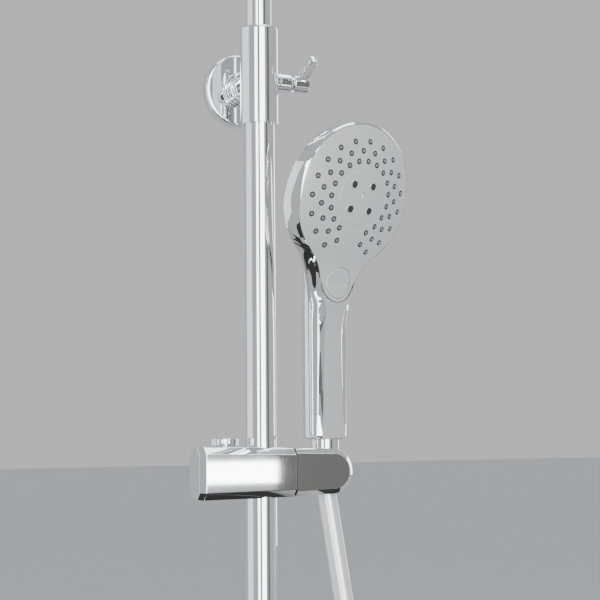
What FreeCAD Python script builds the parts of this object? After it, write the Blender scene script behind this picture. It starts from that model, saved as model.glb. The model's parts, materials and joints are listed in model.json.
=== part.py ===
import FreeCAD, Part
import math
import os
import re
import Sketcher
from FreeCAD import Placement, Rotation, Vector

# A rainfall shower column: a thermostatic mixer on two wall unions, a riser, a sliding
# holder with a hand shower and hose, and a telescopic overhead pipe with a rain head.
# Frame: the wall is the plane y = 0, +Y goes into it, +Z is up, +X is to the right of
# someone who faces the wall. The origin is the centre of the upper wall flange's back.
# Every size is in millimetres.

doc = FreeCAD.newDocument("ShowerColumn")
sheet = doc.addObject("Spreadsheet::Sheet", "Sizes")

SIZES = [
    # the column
    ("axis_gap", 48, "wall to the axis of the riser"),
    ("riser_radius", 12, "riser tube, outside"),
    ("riser_wall", 1.5, "riser tube wall"),
    ("mixer_drop", 1000, "bracket arm down to the mixer's axis"),
    ("running_gap", 0.05, "radial clearance of a shaft in its hole"),
    ("body_gap", 0.3, "gap between bodies that only pass each other"),
    # the upper bracket
    ("sleeve_radius", 15, "bracket sleeve, outside"),
    ("sleeve_above", 41, "sleeve above the arm's axis"),
    ("sleeve_below", 36, "sleeve below the arm's axis"),
    ("sleeve_lip", 3, "inward lip at the sleeve's top"),
    ("sleeve_round", 2.6, "rounding of the sleeve's top edge"),
    ("riser_stop", 6, "riser's top edge below the arm's axis"),
    ("flange_radius", 29.5, "wall flange"),
    ("flange_depth", 10, "wall flange, wall to front face"),
    ("flange_wall", 1.6, "sheet of the wall flange"),
    ("flange_round", 2.2, "rounding of the flange's front edge"),
    ("plate_radius", 23, "wall plate under the flange"),
    ("plate_depth", 5, "wall plate thickness"),
    ("plate_hole", 2.25, "radius of the wall plate's two screw holes"),
    ("plate_spacing", 32, "distance between the two screw holes"),
    ("spigot_radius", 8, "spigot of the wall plate"),
    ("spigot_depth", 16, "end of the spigot from the wall"),
    ("collar_radius", 12.5, "collar of the bracket arm"),
    ("collar_depth", 19, "front of the collar from the wall"),
    ("arm_radius", 9.5, "bracket arm"),
    ("grub_radius", 2, "set screw of the bracket arm"),
    # the height lock
    ("lock_radius", 7.7, "boss and cap of the height lock"),
    ("boss_reach", 25.5, "end of the lock boss from the riser's axis"),
    ("cap_start", 28, "start of the lock cap"),
    ("cap_reach", 41, "end of the lock cap"),
    ("spindle_radius", 3, "lock spindle"),
    ("paddle_reach", 29, "lock axis to the centre of the lever's tip"),
    ("paddle_width", 7, "lock lever along the axis"),
    ("paddle_thick", 6.4, "lock lever across"),
    ("paddle_lift", 26, "rest angle of the lever above the horizontal"),
    # the overhead pipe
    ("pipe_radius", 10, "overhead pipe, outside"),
    ("pipe_wall", 1.25, "overhead pipe wall"),
    ("pipe_inside", 150, "pipe's lower end below the arm's axis"),
    ("pipe_rise", 310, "start of the upper bend above the arm's axis"),
    ("bend_radius", 60, "upper bend of the pipe"),
    ("head_reach", 320, "riser's axis to the rain head's axis"),
    ("drop_bend", 45, "downward bend of the pipe"),
    ("guide_length", 20, "guide ring under the pipe"),
    ("seal_width", 2.4, "seal in the guide ring"),
    # the rain head
    ("outlet_depth", 8, "outlet nut under the pipe's end"),
    ("neck_radius", 5.5, "neck above the swivel ball"),
    ("ball_drop", 27, "pipe's end down to the swivel ball's centre"),
    ("ball_radius", 9, "swivel ball"),
    ("seat_wall", 2, "swivel seat between ball and nut"),
    ("swivel_nut_radius", 16, "nut round the swivel ball"),
    ("head_radius", 110, "rain head"),
    ("head_rim", 8, "rain head's rim height"),
    ("head_wall", 1.5, "rain head's sheet"),
    ("face_thick", 2, "rain head's face plate"),
    ("rain_step", 16.5, "distance between rings of rain nozzles"),
    ("rain_nozzle", 1.7, "radius of a rain nozzle"),
    # the slider
    ("slider_drop", 305, "bracket arm down to the slider's axis"),
    ("slider_half_depth", 17, "half of the slider's depth"),
    ("slider_half_left", 20, "half of the slider's height at its left end"),
    ("slider_half_seam", 18.9, "half of the slider's height at the seam"),
    ("slider_left", 57, "left end from the riser's axis"),
    ("slider_seam", 21.8, "seam between slider and holder"),
    ("bevel", 5.8, "long bevels of slider and holder"),
    ("end_bevel", 4.2, "bevel round the left end"),
    ("end_round", 9, "rounding of the left end's back"),
    ("bush_wall", 2.4, "grip bush in the slider"),
    ("bush_half", 16, "half of the grip bush's height"),
    ("button_at", 30, "release button from the riser's axis"),
    ("button_radius", 11, "release button"),
    ("button_rise", 6.2, "release button above the slider"),
    ("stem_radius", 5, "stem of the release button"),
    ("stem_length", 20, "stem of the release button, down from its cap"),
    ("button_travel", 3, "stroke of the release button"),
    ("return_height", 8, "rubber return sleeve under the stem"),
    ("shoe_height", 10, "brake shoe"),
    ("shoe_width", 12, "brake shoe across"),
    # the holder
    ("socket_reach", 54, "riser's axis to the holder's socket axis"),
    ("holder_half_seam", 18.4, "half of the holder's height at the seam"),
    ("holder_half", 17.5, "half of the holder's height and end radius"),
    ("socket_radius", 10.5, "socket radius halfway down"),
    ("socket_taper", 0.04, "growth of the socket's radius per unit of height"),
    ("pivot_radius", 8, "pivot that the holder turns on"),
    ("pivot_reach", 34, "end of the pivot from the riser's axis"),
    ("washer_thick", 0.8, "friction washer at the seam"),
    # the hand shower
    ("handset_turn", 15.3, "hand shower turned to the right in its socket"),
    ("cone_gap", 0.1, "gap between hose cone and socket"),
    ("cone_below", 2, "hose cone below the slider's axis"),
    ("grip_base", 24.6, "lower end of the handle above the slider's axis"),
    ("grip_radius", 17.3, "handle"),
    ("grip_flat", 10.8, "handle's axis to its flat front"),
    ("grip_top", 132, "top of the straight handle"),
    ("grip_bore", 8.5, "bore of the handle"),
    ("face_forward", 45.9, "socket axis forward to the spray face's centre"),
    ("face_height", 206.5, "slider's axis up to the spray face's centre"),
    ("face_tilt", 17.5, "spray face tilted down"),
    ("dome_radius", 177.5, "sphere of the spray face"),
    ("plate_thick", 3, "spray face plate"),
    ("spray_radius", 53.5, "spray face plate"),
    ("spray_shift", 5, "plate's centre above the nozzle rings' centre"),
    ("shell_radius", 56.5, "hand shower's rim at the back"),
    ("shell_depth", 21, "spray face's centre back to the rim's back edge"),
    ("shell_wall", 2.2, "hand shower's shell"),
    ("ring_outer", 45, "outer ring of spray nozzles"),
    ("ring_middle", 37, "middle ring of spray nozzles"),
    ("ring_inner", 29, "inner ring of spray nozzles"),
    ("ring_pitch", 18.9, "angle between spray nozzles"),
    ("nozzle_radius", 1.7, "spray nozzle"),
    ("nozzle_proud", 1.1, "spray nozzle above the plate"),
    ("jet_spread", 13.5, "centre jets from the spray face's centre"),
    ("jet_radius", 2.6, "centre jet"),
    ("select_radius", 12, "spray select button"),
    ("select_height", 146, "select button above the slider's axis"),
    ("select_forward", 17.8, "select button's face forward of the socket axis"),
    ("select_tilt", 17, "select button tilted down"),
    ("select_thick", 3.2, "select button"),
    # the mixer
    ("inlet_spacing", 150, "distance between the two wall unions"),
    ("mixer_radius", 21, "mixer body"),
    ("mixer_half", 95, "half of the mixer body's length"),
    ("cartridge_radius", 17, "cartridges"),
    ("cartridge_length", 50, "cartridges"),
    ("handle_radius", 21.5, "mixer handles"),
    ("handle_length", 44, "mixer handles"),
    ("handle_gap", 0.5, "gap between handle and mixer body"),
    ("valve_stem", 4, "stem from handle to cartridge"),
    ("stop_radius", 4, "stop button in a mixer handle"),
    ("stop_proud", 2.5, "stop button above its handle"),
    ("union_radius", 10.4, "threaded wall union, behind the wall"),
    ("union_collar", 11, "wall union in front of the wall"),
    ("union_bore", 7, "bore of a wall union"),
    ("union_tail", 15, "union's thread behind the wall"),
    ("union_nut_radius", 16, "union nut"),
    ("cover_radius", 32, "cover plate of a union"),
    ("cover_depth", 10, "cover plate of a union"),
    ("riser_nut_radius", 15.5, "nut at the riser's foot"),
    ("outlet_at", 45, "hose outlet to the left of the riser's axis"),
    ("outlet_radius", 9.5, "hose outlet"),
    ("hose_nut_radius", 11.5, "hose nut"),
    ("hose_radius", 7.5, "hose"),
]

for row, (alias, size, note) in enumerate(SIZES, start=1):
    sheet.set(f"A{row}", note)
    sheet.set(f"B{row}", str(size))
    sheet.setAlias(f"B{row}", alias)
doc.recompute()
NAMES = {alias for alias, _, _ in SIZES}


def formula(text):
    """A formula of size names, as FreeCAD reads it from the sheet."""
    return re.sub(r"[a-z_]+", lambda m: f"Sizes.{m[0]}" if m[0] in NAMES else m[0], str(text))


def number(text):
    """The value that a formula has now."""
    return float(sheet.evalExpression(formula(text)))


def bind(made, **formulas):
    """Binds properties to formulas; an underscore in a property's name stands for a dot."""
    for name, text in formulas.items():
        made.setExpression(name.replace("_", "."), formula(text))
    return made


# Ways to lay down something made along its own +Z.
UPRIGHT = Rotation()
TO_WALL = Rotation(Vector(1, 0, 0), -90)
TO_ROOM = Rotation(Vector(1, 0, 0), 90)
TO_RIGHT = Rotation(Vector(0, 1, 0), 90)
TO_LEFT = Rotation(Vector(0, 1, 0), -90)
DOWN = Rotation(Vector(1, 0, 0), 180)


def seat(made, at, turn=UPRIGHT):
    """Puts a piece at a place given as three formulas."""
    made.Placement = Placement(Vector(*map(number, at)), turn)
    x, y, z = at
    return bind(made, Placement_Base_x=x, Placement_Base_y=y, Placement_Base_z=z)


def rod(name, radius, length, at, turn=UPRIGHT):
    made = bind(doc.addObject("Part::Cylinder", name), Radius=radius, Height=length)
    return seat(made, at, turn)


def cone(name, low, high, length, at, turn=UPRIGHT):
    made = bind(doc.addObject("Part::Cone", name), Radius1=low, Radius2=high, Height=length)
    return seat(made, at, turn)


def block(name, sides, at, turn=UPRIGHT):
    length, width, height = sides
    made = doc.addObject("Part::Box", name)
    return seat(bind(made, Length=length, Width=width, Height=height), at, turn)


def ball(name, radius, at):
    return seat(bind(doc.addObject("Part::Sphere", name), Radius=radius), at)


def bend(name, radius, section, at, turn):
    """A quarter of a torus, from its own +X axis round to its own +Y axis."""
    made = doc.addObject("Part::Torus", name)
    made.Angle3 = 90
    return seat(bind(made, Radius1=radius, Radius2=section), at, turn)


def cut(name, base, *tools):
    for count, tool in enumerate(tools, start=1):
        made = doc.addObject("Part::Cut", name if count == len(tools) else f"{name}_{count}")
        made.Base, made.Tool = base, tool
        base = made
    return made


def fuse(name, *shapes):
    made = doc.addObject("Part::MultiFuse", name)
    made.Shapes = list(shapes)
    return made


def common(name, base, tool):
    made = doc.addObject("Part::Common", name)
    made.Base, made.Tool = base, tool
    return made


def group(name, *solids):
    """Separate solids that share one node."""
    made = doc.addObject("Part::Compound", name)
    made.Links = list(solids)
    return made


def round_edges(name, base, radius, chosen, flat=False):
    """Rounds, or bevels if flat, the edges of base that chosen() picks."""
    doc.recompute()
    made = doc.addObject("Part::Chamfer" if flat else "Part::Fillet", name)
    made.Base = base
    size = number(radius)
    made.Edges = [(i, size, size) for i, e in enumerate(base.Shape.Edges, 1) if chosen(e)]
    return made


def outline(body, plane, points):
    """A closed sketch of straight sides, each corner tied to two formulas."""
    sketch = body.newObject("Sketcher::SketchObject", f"{body.Name}_outline")
    origin = next(o for o in body.Origin.OriginFeatures if o.Role == plane)
    sketch.AttachmentSupport = [(origin, "")]
    sketch.MapMode = "FlatFace"
    corners = [Vector(number(a), number(b), 0) for a, b in points]
    for start, end in zip(corners, corners[1:] + corners[:1]):
        sketch.addGeometry(Part.LineSegment(start, end))
    for i, point in enumerate(points):
        after = (i + 1) % len(points)
        sketch.addConstraint(Sketcher.Constraint("Coincident", i, 2, after, 1))
        for kind, text, axis in (("DistanceX", point[0], -2), ("DistanceY", point[1], -1)):
            if text == 0:
                sketch.addConstraint(Sketcher.Constraint("PointOnObject", i, 1, axis))
                continue
            held = Sketcher.Constraint(kind, -1, 1, i, 1, number(text))
            sketch.setExpression(f"Constraints[{sketch.addConstraint(held)}]", formula(text))
    return sketch


def lathe(name, points, at, turn=UPRIGHT):
    """A body turned from an outline of radius and height about its own +Z."""
    body = doc.addObject("PartDesign::Body", name)
    sketch = outline(body, "XZ_Plane", points)
    made = body.newObject("PartDesign::Revolution", f"{name}_turned")
    made.Profile = sketch
    made.ReferenceAxis = (sketch, ["V_Axis"])
    made.Angle = 360
    return seat(body, at, turn)


def ring(name, inner, outer, length, at, turn=UPRIGHT):
    sides = [(inner, 0), (outer, 0), (outer, length), (inner, length)]
    return lathe(name, sides, at, turn)


def prism(name, plane, points, length, at, turn=UPRIGHT):
    """A body padded both ways from its outline."""
    body = doc.addObject("PartDesign::Body", name)
    made = body.newObject("PartDesign::Pad", f"{name}_pad")
    made.Profile = outline(body, plane, points)
    made.Midplane = True
    bind(made, Length=length)
    return seat(body, at, turn)


def feature(name, shape):
    """A shape made with Part's own functions from the sheet's sizes."""
    made = doc.addObject("Part::Feature", name)
    made.Shape = shape
    made.Placement = shape.Placement
    return made


AXIS = ("0", "-axis_gap")

# --- Riser: one tube from the mixer's boss to the inside of the bracket sleeve. ---
riser_foot = "-mixer_drop + mixer_radius + 6"
riser_tube = ring(
    "riser_tube",
    "riser_radius - riser_wall",
    "riser_radius",
    f"-riser_stop - ({riser_foot})",
    (*AXIS, riser_foot),
)

# --- Bracket sleeve: holds the riser's end below and guides the overhead pipe above. ---
sleeve_blank = lathe(
    "sleeve_blank",
    [
        ("riser_radius", 0),
        ("sleeve_radius", 0),
        ("sleeve_radius", "sleeve_below + sleeve_above"),
        ("pipe_radius + body_gap", "sleeve_below + sleeve_above"),
        ("pipe_radius + body_gap", "sleeve_below + sleeve_above - sleeve_lip"),
        ("riser_radius", "sleeve_below + sleeve_above - sleeve_lip"),
    ],
    (*AXIS, "-sleeve_below"),
)
sleeve_rounded = round_edges(
    "sleeve_rounded",
    sleeve_blank,
    "sleeve_round",
    lambda e: e.BoundBox.ZMin > number("sleeve_above") - 0.1
    and e.BoundBox.XMax > number("sleeve_radius") - 0.1,
)
spindle_hole = rod(
    "spindle_hole",
    "spindle_radius + running_gap",
    "sleeve_radius + 5",
    (*AXIS, "0"),
    TO_RIGHT,
)
bracket_sleeve = cut("bracket_sleeve", sleeve_rounded, spindle_hole)
sleeve_bush = cut(
    "sleeve_bush",
    ring(
        "bush_blank",
        "pipe_radius + running_gap",
        "riser_radius",
        "riser_stop + sleeve_above - sleeve_lip",
        (*AXIS, "-riser_stop"),
    ),
    rod("bush_hole", "spindle_radius + running_gap", "20", (*AXIS, "0"), TO_RIGHT),
)

# --- Bracket arm, wall plate, flange and set screw, along -Y from the wall. ---
arm_blank = lathe(
    "arm_blank",
    [
        ("spigot_radius", "plate_depth"),
        ("collar_radius", "plate_depth"),
        ("collar_radius", "collar_depth - 1.5"),
        ("collar_radius - 1.5", "collar_depth"),
        ("arm_radius", "collar_depth"),
        ("arm_radius", "axis_gap"),
        (0, "axis_gap"),
        (0, "spigot_depth"),
        ("spigot_radius", "spigot_depth"),
    ],
    ("0", "0", "0"),
    TO_ROOM,
)
grub_at = "-(flange_depth + spigot_depth) / 2"
bracket_arm = cut(
    "bracket_arm",
    arm_blank,
    rod("arm_saddle", "sleeve_radius", "80", (*AXIS, "-40")),
    rod("grub_hole", "grub_radius", "20", ("0", grub_at, "-20")),
)
arm_set_screw = rod(
    "arm_set_screw",
    "grub_radius",
    "collar_radius - spigot_radius - 0.6",
    ("0", grub_at, "-collar_radius + 0.5"),
)
plate_blank = lathe(
    "plate_blank",
    [
        (0, 0),
        ("plate_radius", 0),
        ("plate_radius", "plate_depth"),
        ("spigot_radius", "plate_depth"),
        ("spigot_radius", "spigot_depth"),
        (0, "spigot_depth"),
    ],
    ("0", "0", "0"),
    TO_ROOM,
)
plate_holes = [
    rod(f"plate_hole_{side}", "plate_hole", "20", (f"{sign}plate_spacing / 2", "5", "0"), TO_ROOM)
    for side, sign in (("left", "-"), ("right", ""))
]
wall_plate = cut("wall_plate", plate_blank, *plate_holes)
flange_blank = lathe(
    "flange_blank",
    [
        ("flange_radius - flange_wall", 0),
        ("flange_radius", 0),
        ("flange_radius", "flange_depth"),
        ("collar_radius", "flange_depth"),
        ("collar_radius", "flange_depth - flange_wall"),
        ("flange_radius - flange_wall", "flange_depth - flange_wall"),
    ],
    ("0", "0", "0"),
    TO_ROOM,
)
wall_flange = round_edges(
    "wall_flange",
    flange_blank,
    "flange_round",
    lambda e: e.BoundBox.YMax < -number("flange_depth") + 0.1
    and e.BoundBox.XMax > number("flange_radius") - 0.1,
)

# --- Height lock: a boss on the sleeve's right, and a capped lever that turns in it. ---
lock_boss = cut(
    "lock_boss",
    ring(
        "boss_blank",
        "spindle_radius + running_gap",
        "lock_radius",
        "boss_reach - 10",
        ("10", "-axis_gap", "0"),
        TO_RIGHT,
    ),
    rod("boss_saddle", "sleeve_radius", "80", (*AXIS, "-40")),
)
cap = lathe(
    "lock_cap",
    [
        ("spindle_radius", 0),
        ("lock_radius - 1.6", 0),
        ("lock_radius - 1.6", "cap_start - boss_reach - body_gap"),
        ("lock_radius", "cap_start - boss_reach"),
        ("lock_radius", "cap_reach - boss_reach - 1"),
        ("lock_radius - 1", "cap_reach - boss_reach"),
        (0, "cap_reach - boss_reach"),
        (0, "cap_reach - boss_reach - 5"),
        ("spindle_radius", "cap_reach - boss_reach - 5"),
    ],
    ("boss_reach + body_gap", "-axis_gap", "0"),
    TO_RIGHT,
)
LEVER = Rotation(Vector(1, 0, 0), 90 - number("paddle_lift"))
lever_at = ("(cap_start + cap_reach) / 2 - paddle_width / 2", "-axis_gap", "0")
lever_y, lever_z = (f"{f}(paddle_lift)" for f in ("cos", "sin"))
paddle_bar = block(
    "paddle_bar",
    ("paddle_width", "paddle_thick", "paddle_reach"),
    (
        lever_at[0],
        f"-axis_gap - paddle_thick / 2 * {lever_z}",
        f"-paddle_thick / 2 * {lever_y}",
    ),
    LEVER,
)
paddle_tip = rod(
    "paddle_tip",
    "paddle_thick / 2",
    "paddle_width",
    (lever_at[0], f"-axis_gap - paddle_reach * {lever_y}", f"paddle_reach * {lever_z}"),
    TO_RIGHT,
)
spindle_bed = rod(
    "spindle_bed",
    "spindle_radius",
    "cap_reach - 5",
    ("body_gap", "-axis_gap", "0"),
    TO_RIGHT,
)
lock_lever = cut("lock_lever", fuse("lever_blank", cap, paddle_bar, paddle_tip), spindle_bed)
lock_spindle = rod(
    "lock_spindle",
    "spindle_radius",
    "cap_reach - 5 - pipe_radius",
    ("pipe_radius + body_gap", "-axis_gap", "0"),
    TO_RIGHT,
)


# --- Overhead pipe: up, over to the room and down, made of straight and bent lengths. ---
def pipe_run(name, section):
    """The whole run of the overhead pipe with one radius of section."""
    over = "-axis_gap - bend_radius"
    fall = "-axis_gap - head_reach"
    top = "pipe_rise + bend_radius"
    return fuse(
        name,
        rod(f"{name}_up", section, "pipe_inside + pipe_rise", (*AXIS, "-pipe_inside")),
        bend(
            f"{name}_bend",
            "bend_radius",
            section,
            ("0", over, "pipe_rise"),
            Rotation(Vector(0, 1, 0), Vector(0, 0, 1), Vector(1, 0, 0), "ZXY"),
        ),
        rod(
            f"{name}_over",
            section,
            "head_reach - bend_radius - drop_bend",
            ("0", over, top),
            TO_ROOM,
        ),
        bend(
            f"{name}_drop",
            "drop_bend",
            section,
            ("0", f"{fall} + drop_bend", f"{top} - drop_bend"),
            Rotation(Vector(0, 0, 1), Vector(0, -1, 0), Vector(1, 0, 0), "ZXY"),
        ),
        rod(f"{name}_end", section, "15", ("0", fall, f"{top} - drop_bend - 15")),
    )


overhead_pipe = cut(
    "overhead_pipe",
    pipe_run("pipe_outside", "pipe_radius"),
    pipe_run("pipe_inside_run", "pipe_radius - pipe_wall"),
)
guide_low = "-pipe_inside - guide_length - running_gap"
seal_low = "guide_length - 6 - seal_width"
slide_guide = lathe(
    "slide_guide",
    [
        ("pipe_radius - 3", 0),
        ("riser_radius - riser_wall - running_gap", 0),
        ("riser_radius - riser_wall - running_gap", seal_low),
        ("pipe_radius - 1.2", seal_low),
        ("pipe_radius - 1.2", f"{seal_low} + seal_width"),
        ("riser_radius - riser_wall - running_gap", f"{seal_low} + seal_width"),
        ("riser_radius - riser_wall - running_gap", "guide_length"),
        ("pipe_radius - 3", "guide_length"),
    ],
    (*AXIS, guide_low),
)
slide_seal = ring(
    "slide_seal",
    "pipe_radius - 1.2",
    "riser_radius - riser_wall - running_gap / 2",
    "seal_width",
    (*AXIS, f"{guide_low} + {seal_low}"),
)

# --- Rain head: swivel ball, seat, nut, shell, gasket, face plate and nozzles. ---
HEAD = ("0", "-axis_gap - head_reach")
pipe_end = "pipe_rise + bend_radius - drop_bend - 15"
ball_z = f"{pipe_end} - ball_drop"
swivel_ball = fuse(
    "swivel_ball",
    ball("ball_round", "ball_radius", (*HEAD, ball_z)),
    rod("ball_neck", "neck_radius", "ball_drop", (*HEAD, ball_z)),
    lathe(
        "outlet_nut",
        [
            (0, 0),
            ("pipe_radius - 1", 0),
            ("pipe_radius + 1.5", 2),
            ("pipe_radius + 1.5", "outlet_depth"),
            (0, "outlet_depth"),
        ],
        (*HEAD, f"{pipe_end} - outlet_depth"),
    ),
)
swivel_seat = cut(
    "swivel_seat",
    common(
        "seat_zone",
        ball("seat_round", "ball_radius + seat_wall", (*HEAD, ball_z)),
        rod("seat_band", "30", "ball_radius + 2", (*HEAD, f"{ball_z} - ball_radius / 2 - 1")),
    ),
    ball("seat_bore", "ball_radius + running_gap", (*HEAD, ball_z)),
)
shell_top = f"{ball_z} - ball_radius - seat_wall - 3"
swivel_nut = cut(
    "swivel_nut",
    lathe(
        "nut_blank",
        [
            (0, 0),
            ("swivel_nut_radius", 0),
            ("swivel_nut_radius", "ball_radius * 2 + seat_wall"),
            ("swivel_nut_radius - 3", "ball_radius * 2 + seat_wall + 3"),
            (0, "ball_radius * 2 + seat_wall + 3"),
        ],
        (*HEAD, shell_top),
    ),
    ball("nut_bore", "ball_radius + seat_wall + running_gap", (*HEAD, ball_z)),
    cone("nut_mouth", "ball_radius - 1", "ball_radius + 9", "16", (*HEAD, f"{ball_z} + 4")),
)
rim_low = f"{shell_top} - head_rim - 6"
rain_shell = lathe(
    "rain_shell",
    [
        ("head_radius - head_wall", 0),
        ("head_radius", 0),
        ("head_radius", "head_rim"),
        ("head_radius - 8", "head_rim + 3"),
        ("swivel_nut_radius + 6", "head_rim + 6"),
        (0, "head_rim + 6"),
        (0, "head_rim + 6 - head_wall"),
        ("swivel_nut_radius + 6", "head_rim + 6 - head_wall"),
        ("head_radius - 8", "head_rim + 3 - head_wall"),
        ("head_radius - head_wall", "head_rim - head_wall"),
    ],
    (*HEAD, rim_low),
)
rain_gasket = ring(
    "rain_gasket",
    "head_radius - head_wall - 5",
    "head_radius - head_wall",
    "2",
    (*HEAD, f"{rim_low} + face_thick"),
)
rain_face = rod("rain_face", "head_radius - head_wall", "face_thick", (*HEAD, rim_low))


def rain_nozzles_of(rings):
    """Rings of short tapered nozzles under the rain head's face."""
    radius, step = number("rain_nozzle"), number("rain_step")
    x, y, z = (number(f) for f in (*HEAD, rim_low))
    made = []
    for k in range(1, rings + 1):
        for j in range(6 * k):
            angle = 2 * math.pi * j / (6 * k)
            foot = Vector(x + k * step * math.cos(angle), y + k * step * math.sin(angle), z)
            made.append(Part.makeCone(radius, 0.7 * radius, 2.2, foot, Vector(0, 0, -1)))
    return Part.makeCompound(made)


rain_rings = int((number("head_radius") - 9) // number("rain_step"))
rain_nozzles = feature("rain_nozzles", rain_nozzles_of(rain_rings))

# --- Slider: a bevelled bar across the riser, lofted through its sections. ---
SLIDER = (*AXIS, "-slider_drop")


def bar_section(x, half_height, front, back, bevel_front, bevel_back):
    """An eight-sided section of the bar in the plane at x, seen along the bar."""
    z = half_height
    corners = [
        (-front, -z + bevel_front),
        (-front, z - bevel_front),
        (-front + bevel_front, z),
        (back - bevel_back, z),
        (back, z - bevel_back),
        (back, -z + bevel_back),
        (back - bevel_back, -z),
        (-front + bevel_front, -z),
    ]
    return Part.makePolygon([Vector(x, y, h) for y, h in corners + corners[:1]])


def slider_bar():
    half, seam = number("slider_half_left"), number("slider_half_seam")
    depth, long_bevel, end = (number(n) for n in ("slider_half_depth", "bevel", "end_bevel"))
    left, right, rounding = (number(n) for n in ("-slider_left", "slider_seam", "end_round"))
    sections = [
        bar_section(left, half - 0.6, depth - end, depth - rounding, long_bevel, 7),
        bar_section(left + end, half, depth, depth - 3, long_bevel, long_bevel),
        bar_section(left + 3 * end, half, depth, depth, long_bevel, long_bevel),
        bar_section(right, seam, depth, depth, long_bevel, long_bevel),
    ]
    bar = Part.makeLoft(sections, True, True)
    bar.translate(Vector(*map(number, SLIDER)))
    return bar


slider_top = "-slider_drop + slider_half_left"
button_x = "-button_at"
bush_radius = "riser_radius + running_gap + bush_wall"
slider_body = cut(
    "slider_body",
    feature("slider_bar", slider_bar()),
    rod("slider_bore", "riser_radius + 2 * body_gap", "80", (*AXIS, "-slider_drop - 40")),
    rod("bush_bed", bush_radius, "2 * bush_half", (*AXIS, "-slider_drop - bush_half")),
    rod(
        "stem_well",
        "stem_radius + running_gap",
        "60",
        (button_x, "-axis_gap", f"{slider_top} - stem_length - return_height"),
    ),
    rod(
        "button_bed",
        "button_radius + body_gap",
        "20",
        (button_x, "-axis_gap", f"{slider_top} - button_travel - body_gap"),
    ),
    block(
        "shoe_bed",
        ("button_at", "shoe_width", "shoe_height"),
        (button_x, "-axis_gap - shoe_width / 2", "-slider_drop - shoe_height / 2"),
    ),
    rod(
        "pivot_bed",
        "pivot_radius",
        "slider_seam + 1",
        (bush_radius, "-axis_gap", "-slider_drop"),
        TO_RIGHT,
    ),
)
bush_blank = ring(
    "grip_bush_blank",
    "riser_radius + running_gap",
    bush_radius,
    "2 * bush_half",
    (*AXIS, "-slider_drop - bush_half"),
)
shoe_window = block(
    "shoe_window",
    ("button_at", "shoe_width", "shoe_height"),
    (button_x, "-axis_gap - shoe_width / 2", "-slider_drop - shoe_height / 2"),
)
grip_bush = cut("grip_bush", bush_blank, shoe_window)
brake_shoe = cut(
    "brake_shoe",
    block(
        "shoe_blank",
        ("button_at - stem_radius - 1", "shoe_width - 0.4", "shoe_height - 0.4"),
        (
            "-button_at + stem_radius + 1",
            "-axis_gap - shoe_width / 2 + 0.2",
            "-slider_drop - shoe_height / 2 + 0.2",
        ),
    ),
    rod("shoe_hollow", "riser_radius + running_gap", "80", (*AXIS, "-slider_drop - 40")),
)
release_button = fuse(
    "release_button",
    lathe(
        "button_cap",
        [
            (0, 0),
            ("button_radius - 0.6", 0),
            ("button_radius", "0.6"),
            ("button_radius", "button_rise - 1.4"),
            ("button_radius - 1.4", "button_rise"),
            (0, "button_rise"),
        ],
        (button_x, "-axis_gap", f"{slider_top} + body_gap"),
    ),
    rod(
        "button_stem",
        "stem_radius",
        "stem_length + 1",
        (button_x, "-axis_gap", f"{slider_top} - stem_length"),
    ),
)


# A corrugated rubber sleeve pushes the button back up.
sleeve_out, sleeve_waist = "stem_radius - 0.4", "stem_radius - 1.4"
button_spring = lathe(
    "button_spring",
    [
        ("stem_radius - 2.6", 0),
        (sleeve_out, 0),
        (sleeve_out, "return_height * 0.15"),
        (sleeve_waist, "return_height * 0.28"),
        (sleeve_out, "return_height * 0.41"),
        (sleeve_waist, "return_height * 0.54"),
        (sleeve_out, "return_height * 0.67"),
        (sleeve_waist, "return_height * 0.8"),
        (sleeve_out, "return_height * 0.9"),
        (sleeve_out, "return_height - running_gap"),
        ("stem_radius - 2.6", "return_height - running_gap"),
    ],
    (button_x, "-axis_gap", f"{slider_top} - stem_length - return_height"),
)
pivot_pin = lathe(
    "pivot_pin",
    [
        (0, 0),
        ("pivot_radius", 0),
        ("pivot_radius", f"pivot_reach - ({bush_radius})"),
        (0, f"pivot_reach - ({bush_radius})"),
    ],
    (bush_radius, "-axis_gap", "-slider_drop"),
    TO_RIGHT,
)
friction_washer = ring(
    "friction_washer",
    "pivot_radius",
    "pivot_radius + 5",
    "washer_thick",
    ("slider_seam", "-axis_gap", "-slider_drop"),
    TO_RIGHT,
)

# --- Holder: a bevelled block with a half-round end and a tapered socket. ---
holder_start = "slider_seam + washer_thick + running_gap"


def holder_block():
    """The holder's outline seen from the room, rounded round the socket, and bevelled."""
    x0, x1 = number(holder_start), number("socket_reach")
    seam, end, depth = (number(n) for n in ("holder_half_seam", "holder_half", "slider_half_depth"))
    slope = math.asin((seam - end) / math.hypot(x1 - x0, seam - end))
    top = Vector(x1 + end * math.sin(slope), -depth, end * math.cos(slope))
    low = Vector(top.x, top.y, -top.z)
    tip = Vector(x1 + end, -depth, 0)
    corners = [Vector(x0, -depth, seam), Vector(x0, -depth, -seam)]
    sides = [
        Part.makeLine(corners[1], corners[0]),
        Part.makeLine(corners[0], top),
        Part.Arc(top, tip, low).toShape(),
        Part.makeLine(low, corners[1]),
    ]
    solid = Part.Face(Part.Wire(sides)).extrude(Vector(0, 2 * depth, 0))
    bevelled = [
        e
        for e in solid.Edges
        if e.BoundBox.YLength < 1e-3 and e.BoundBox.XLength > 1e-3
    ]
    solid = solid.makeChamfer(number("bevel") * 0.72, bevelled)
    solid.translate(Vector(0, number("-axis_gap"), number("-slider_drop")))
    return solid


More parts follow.
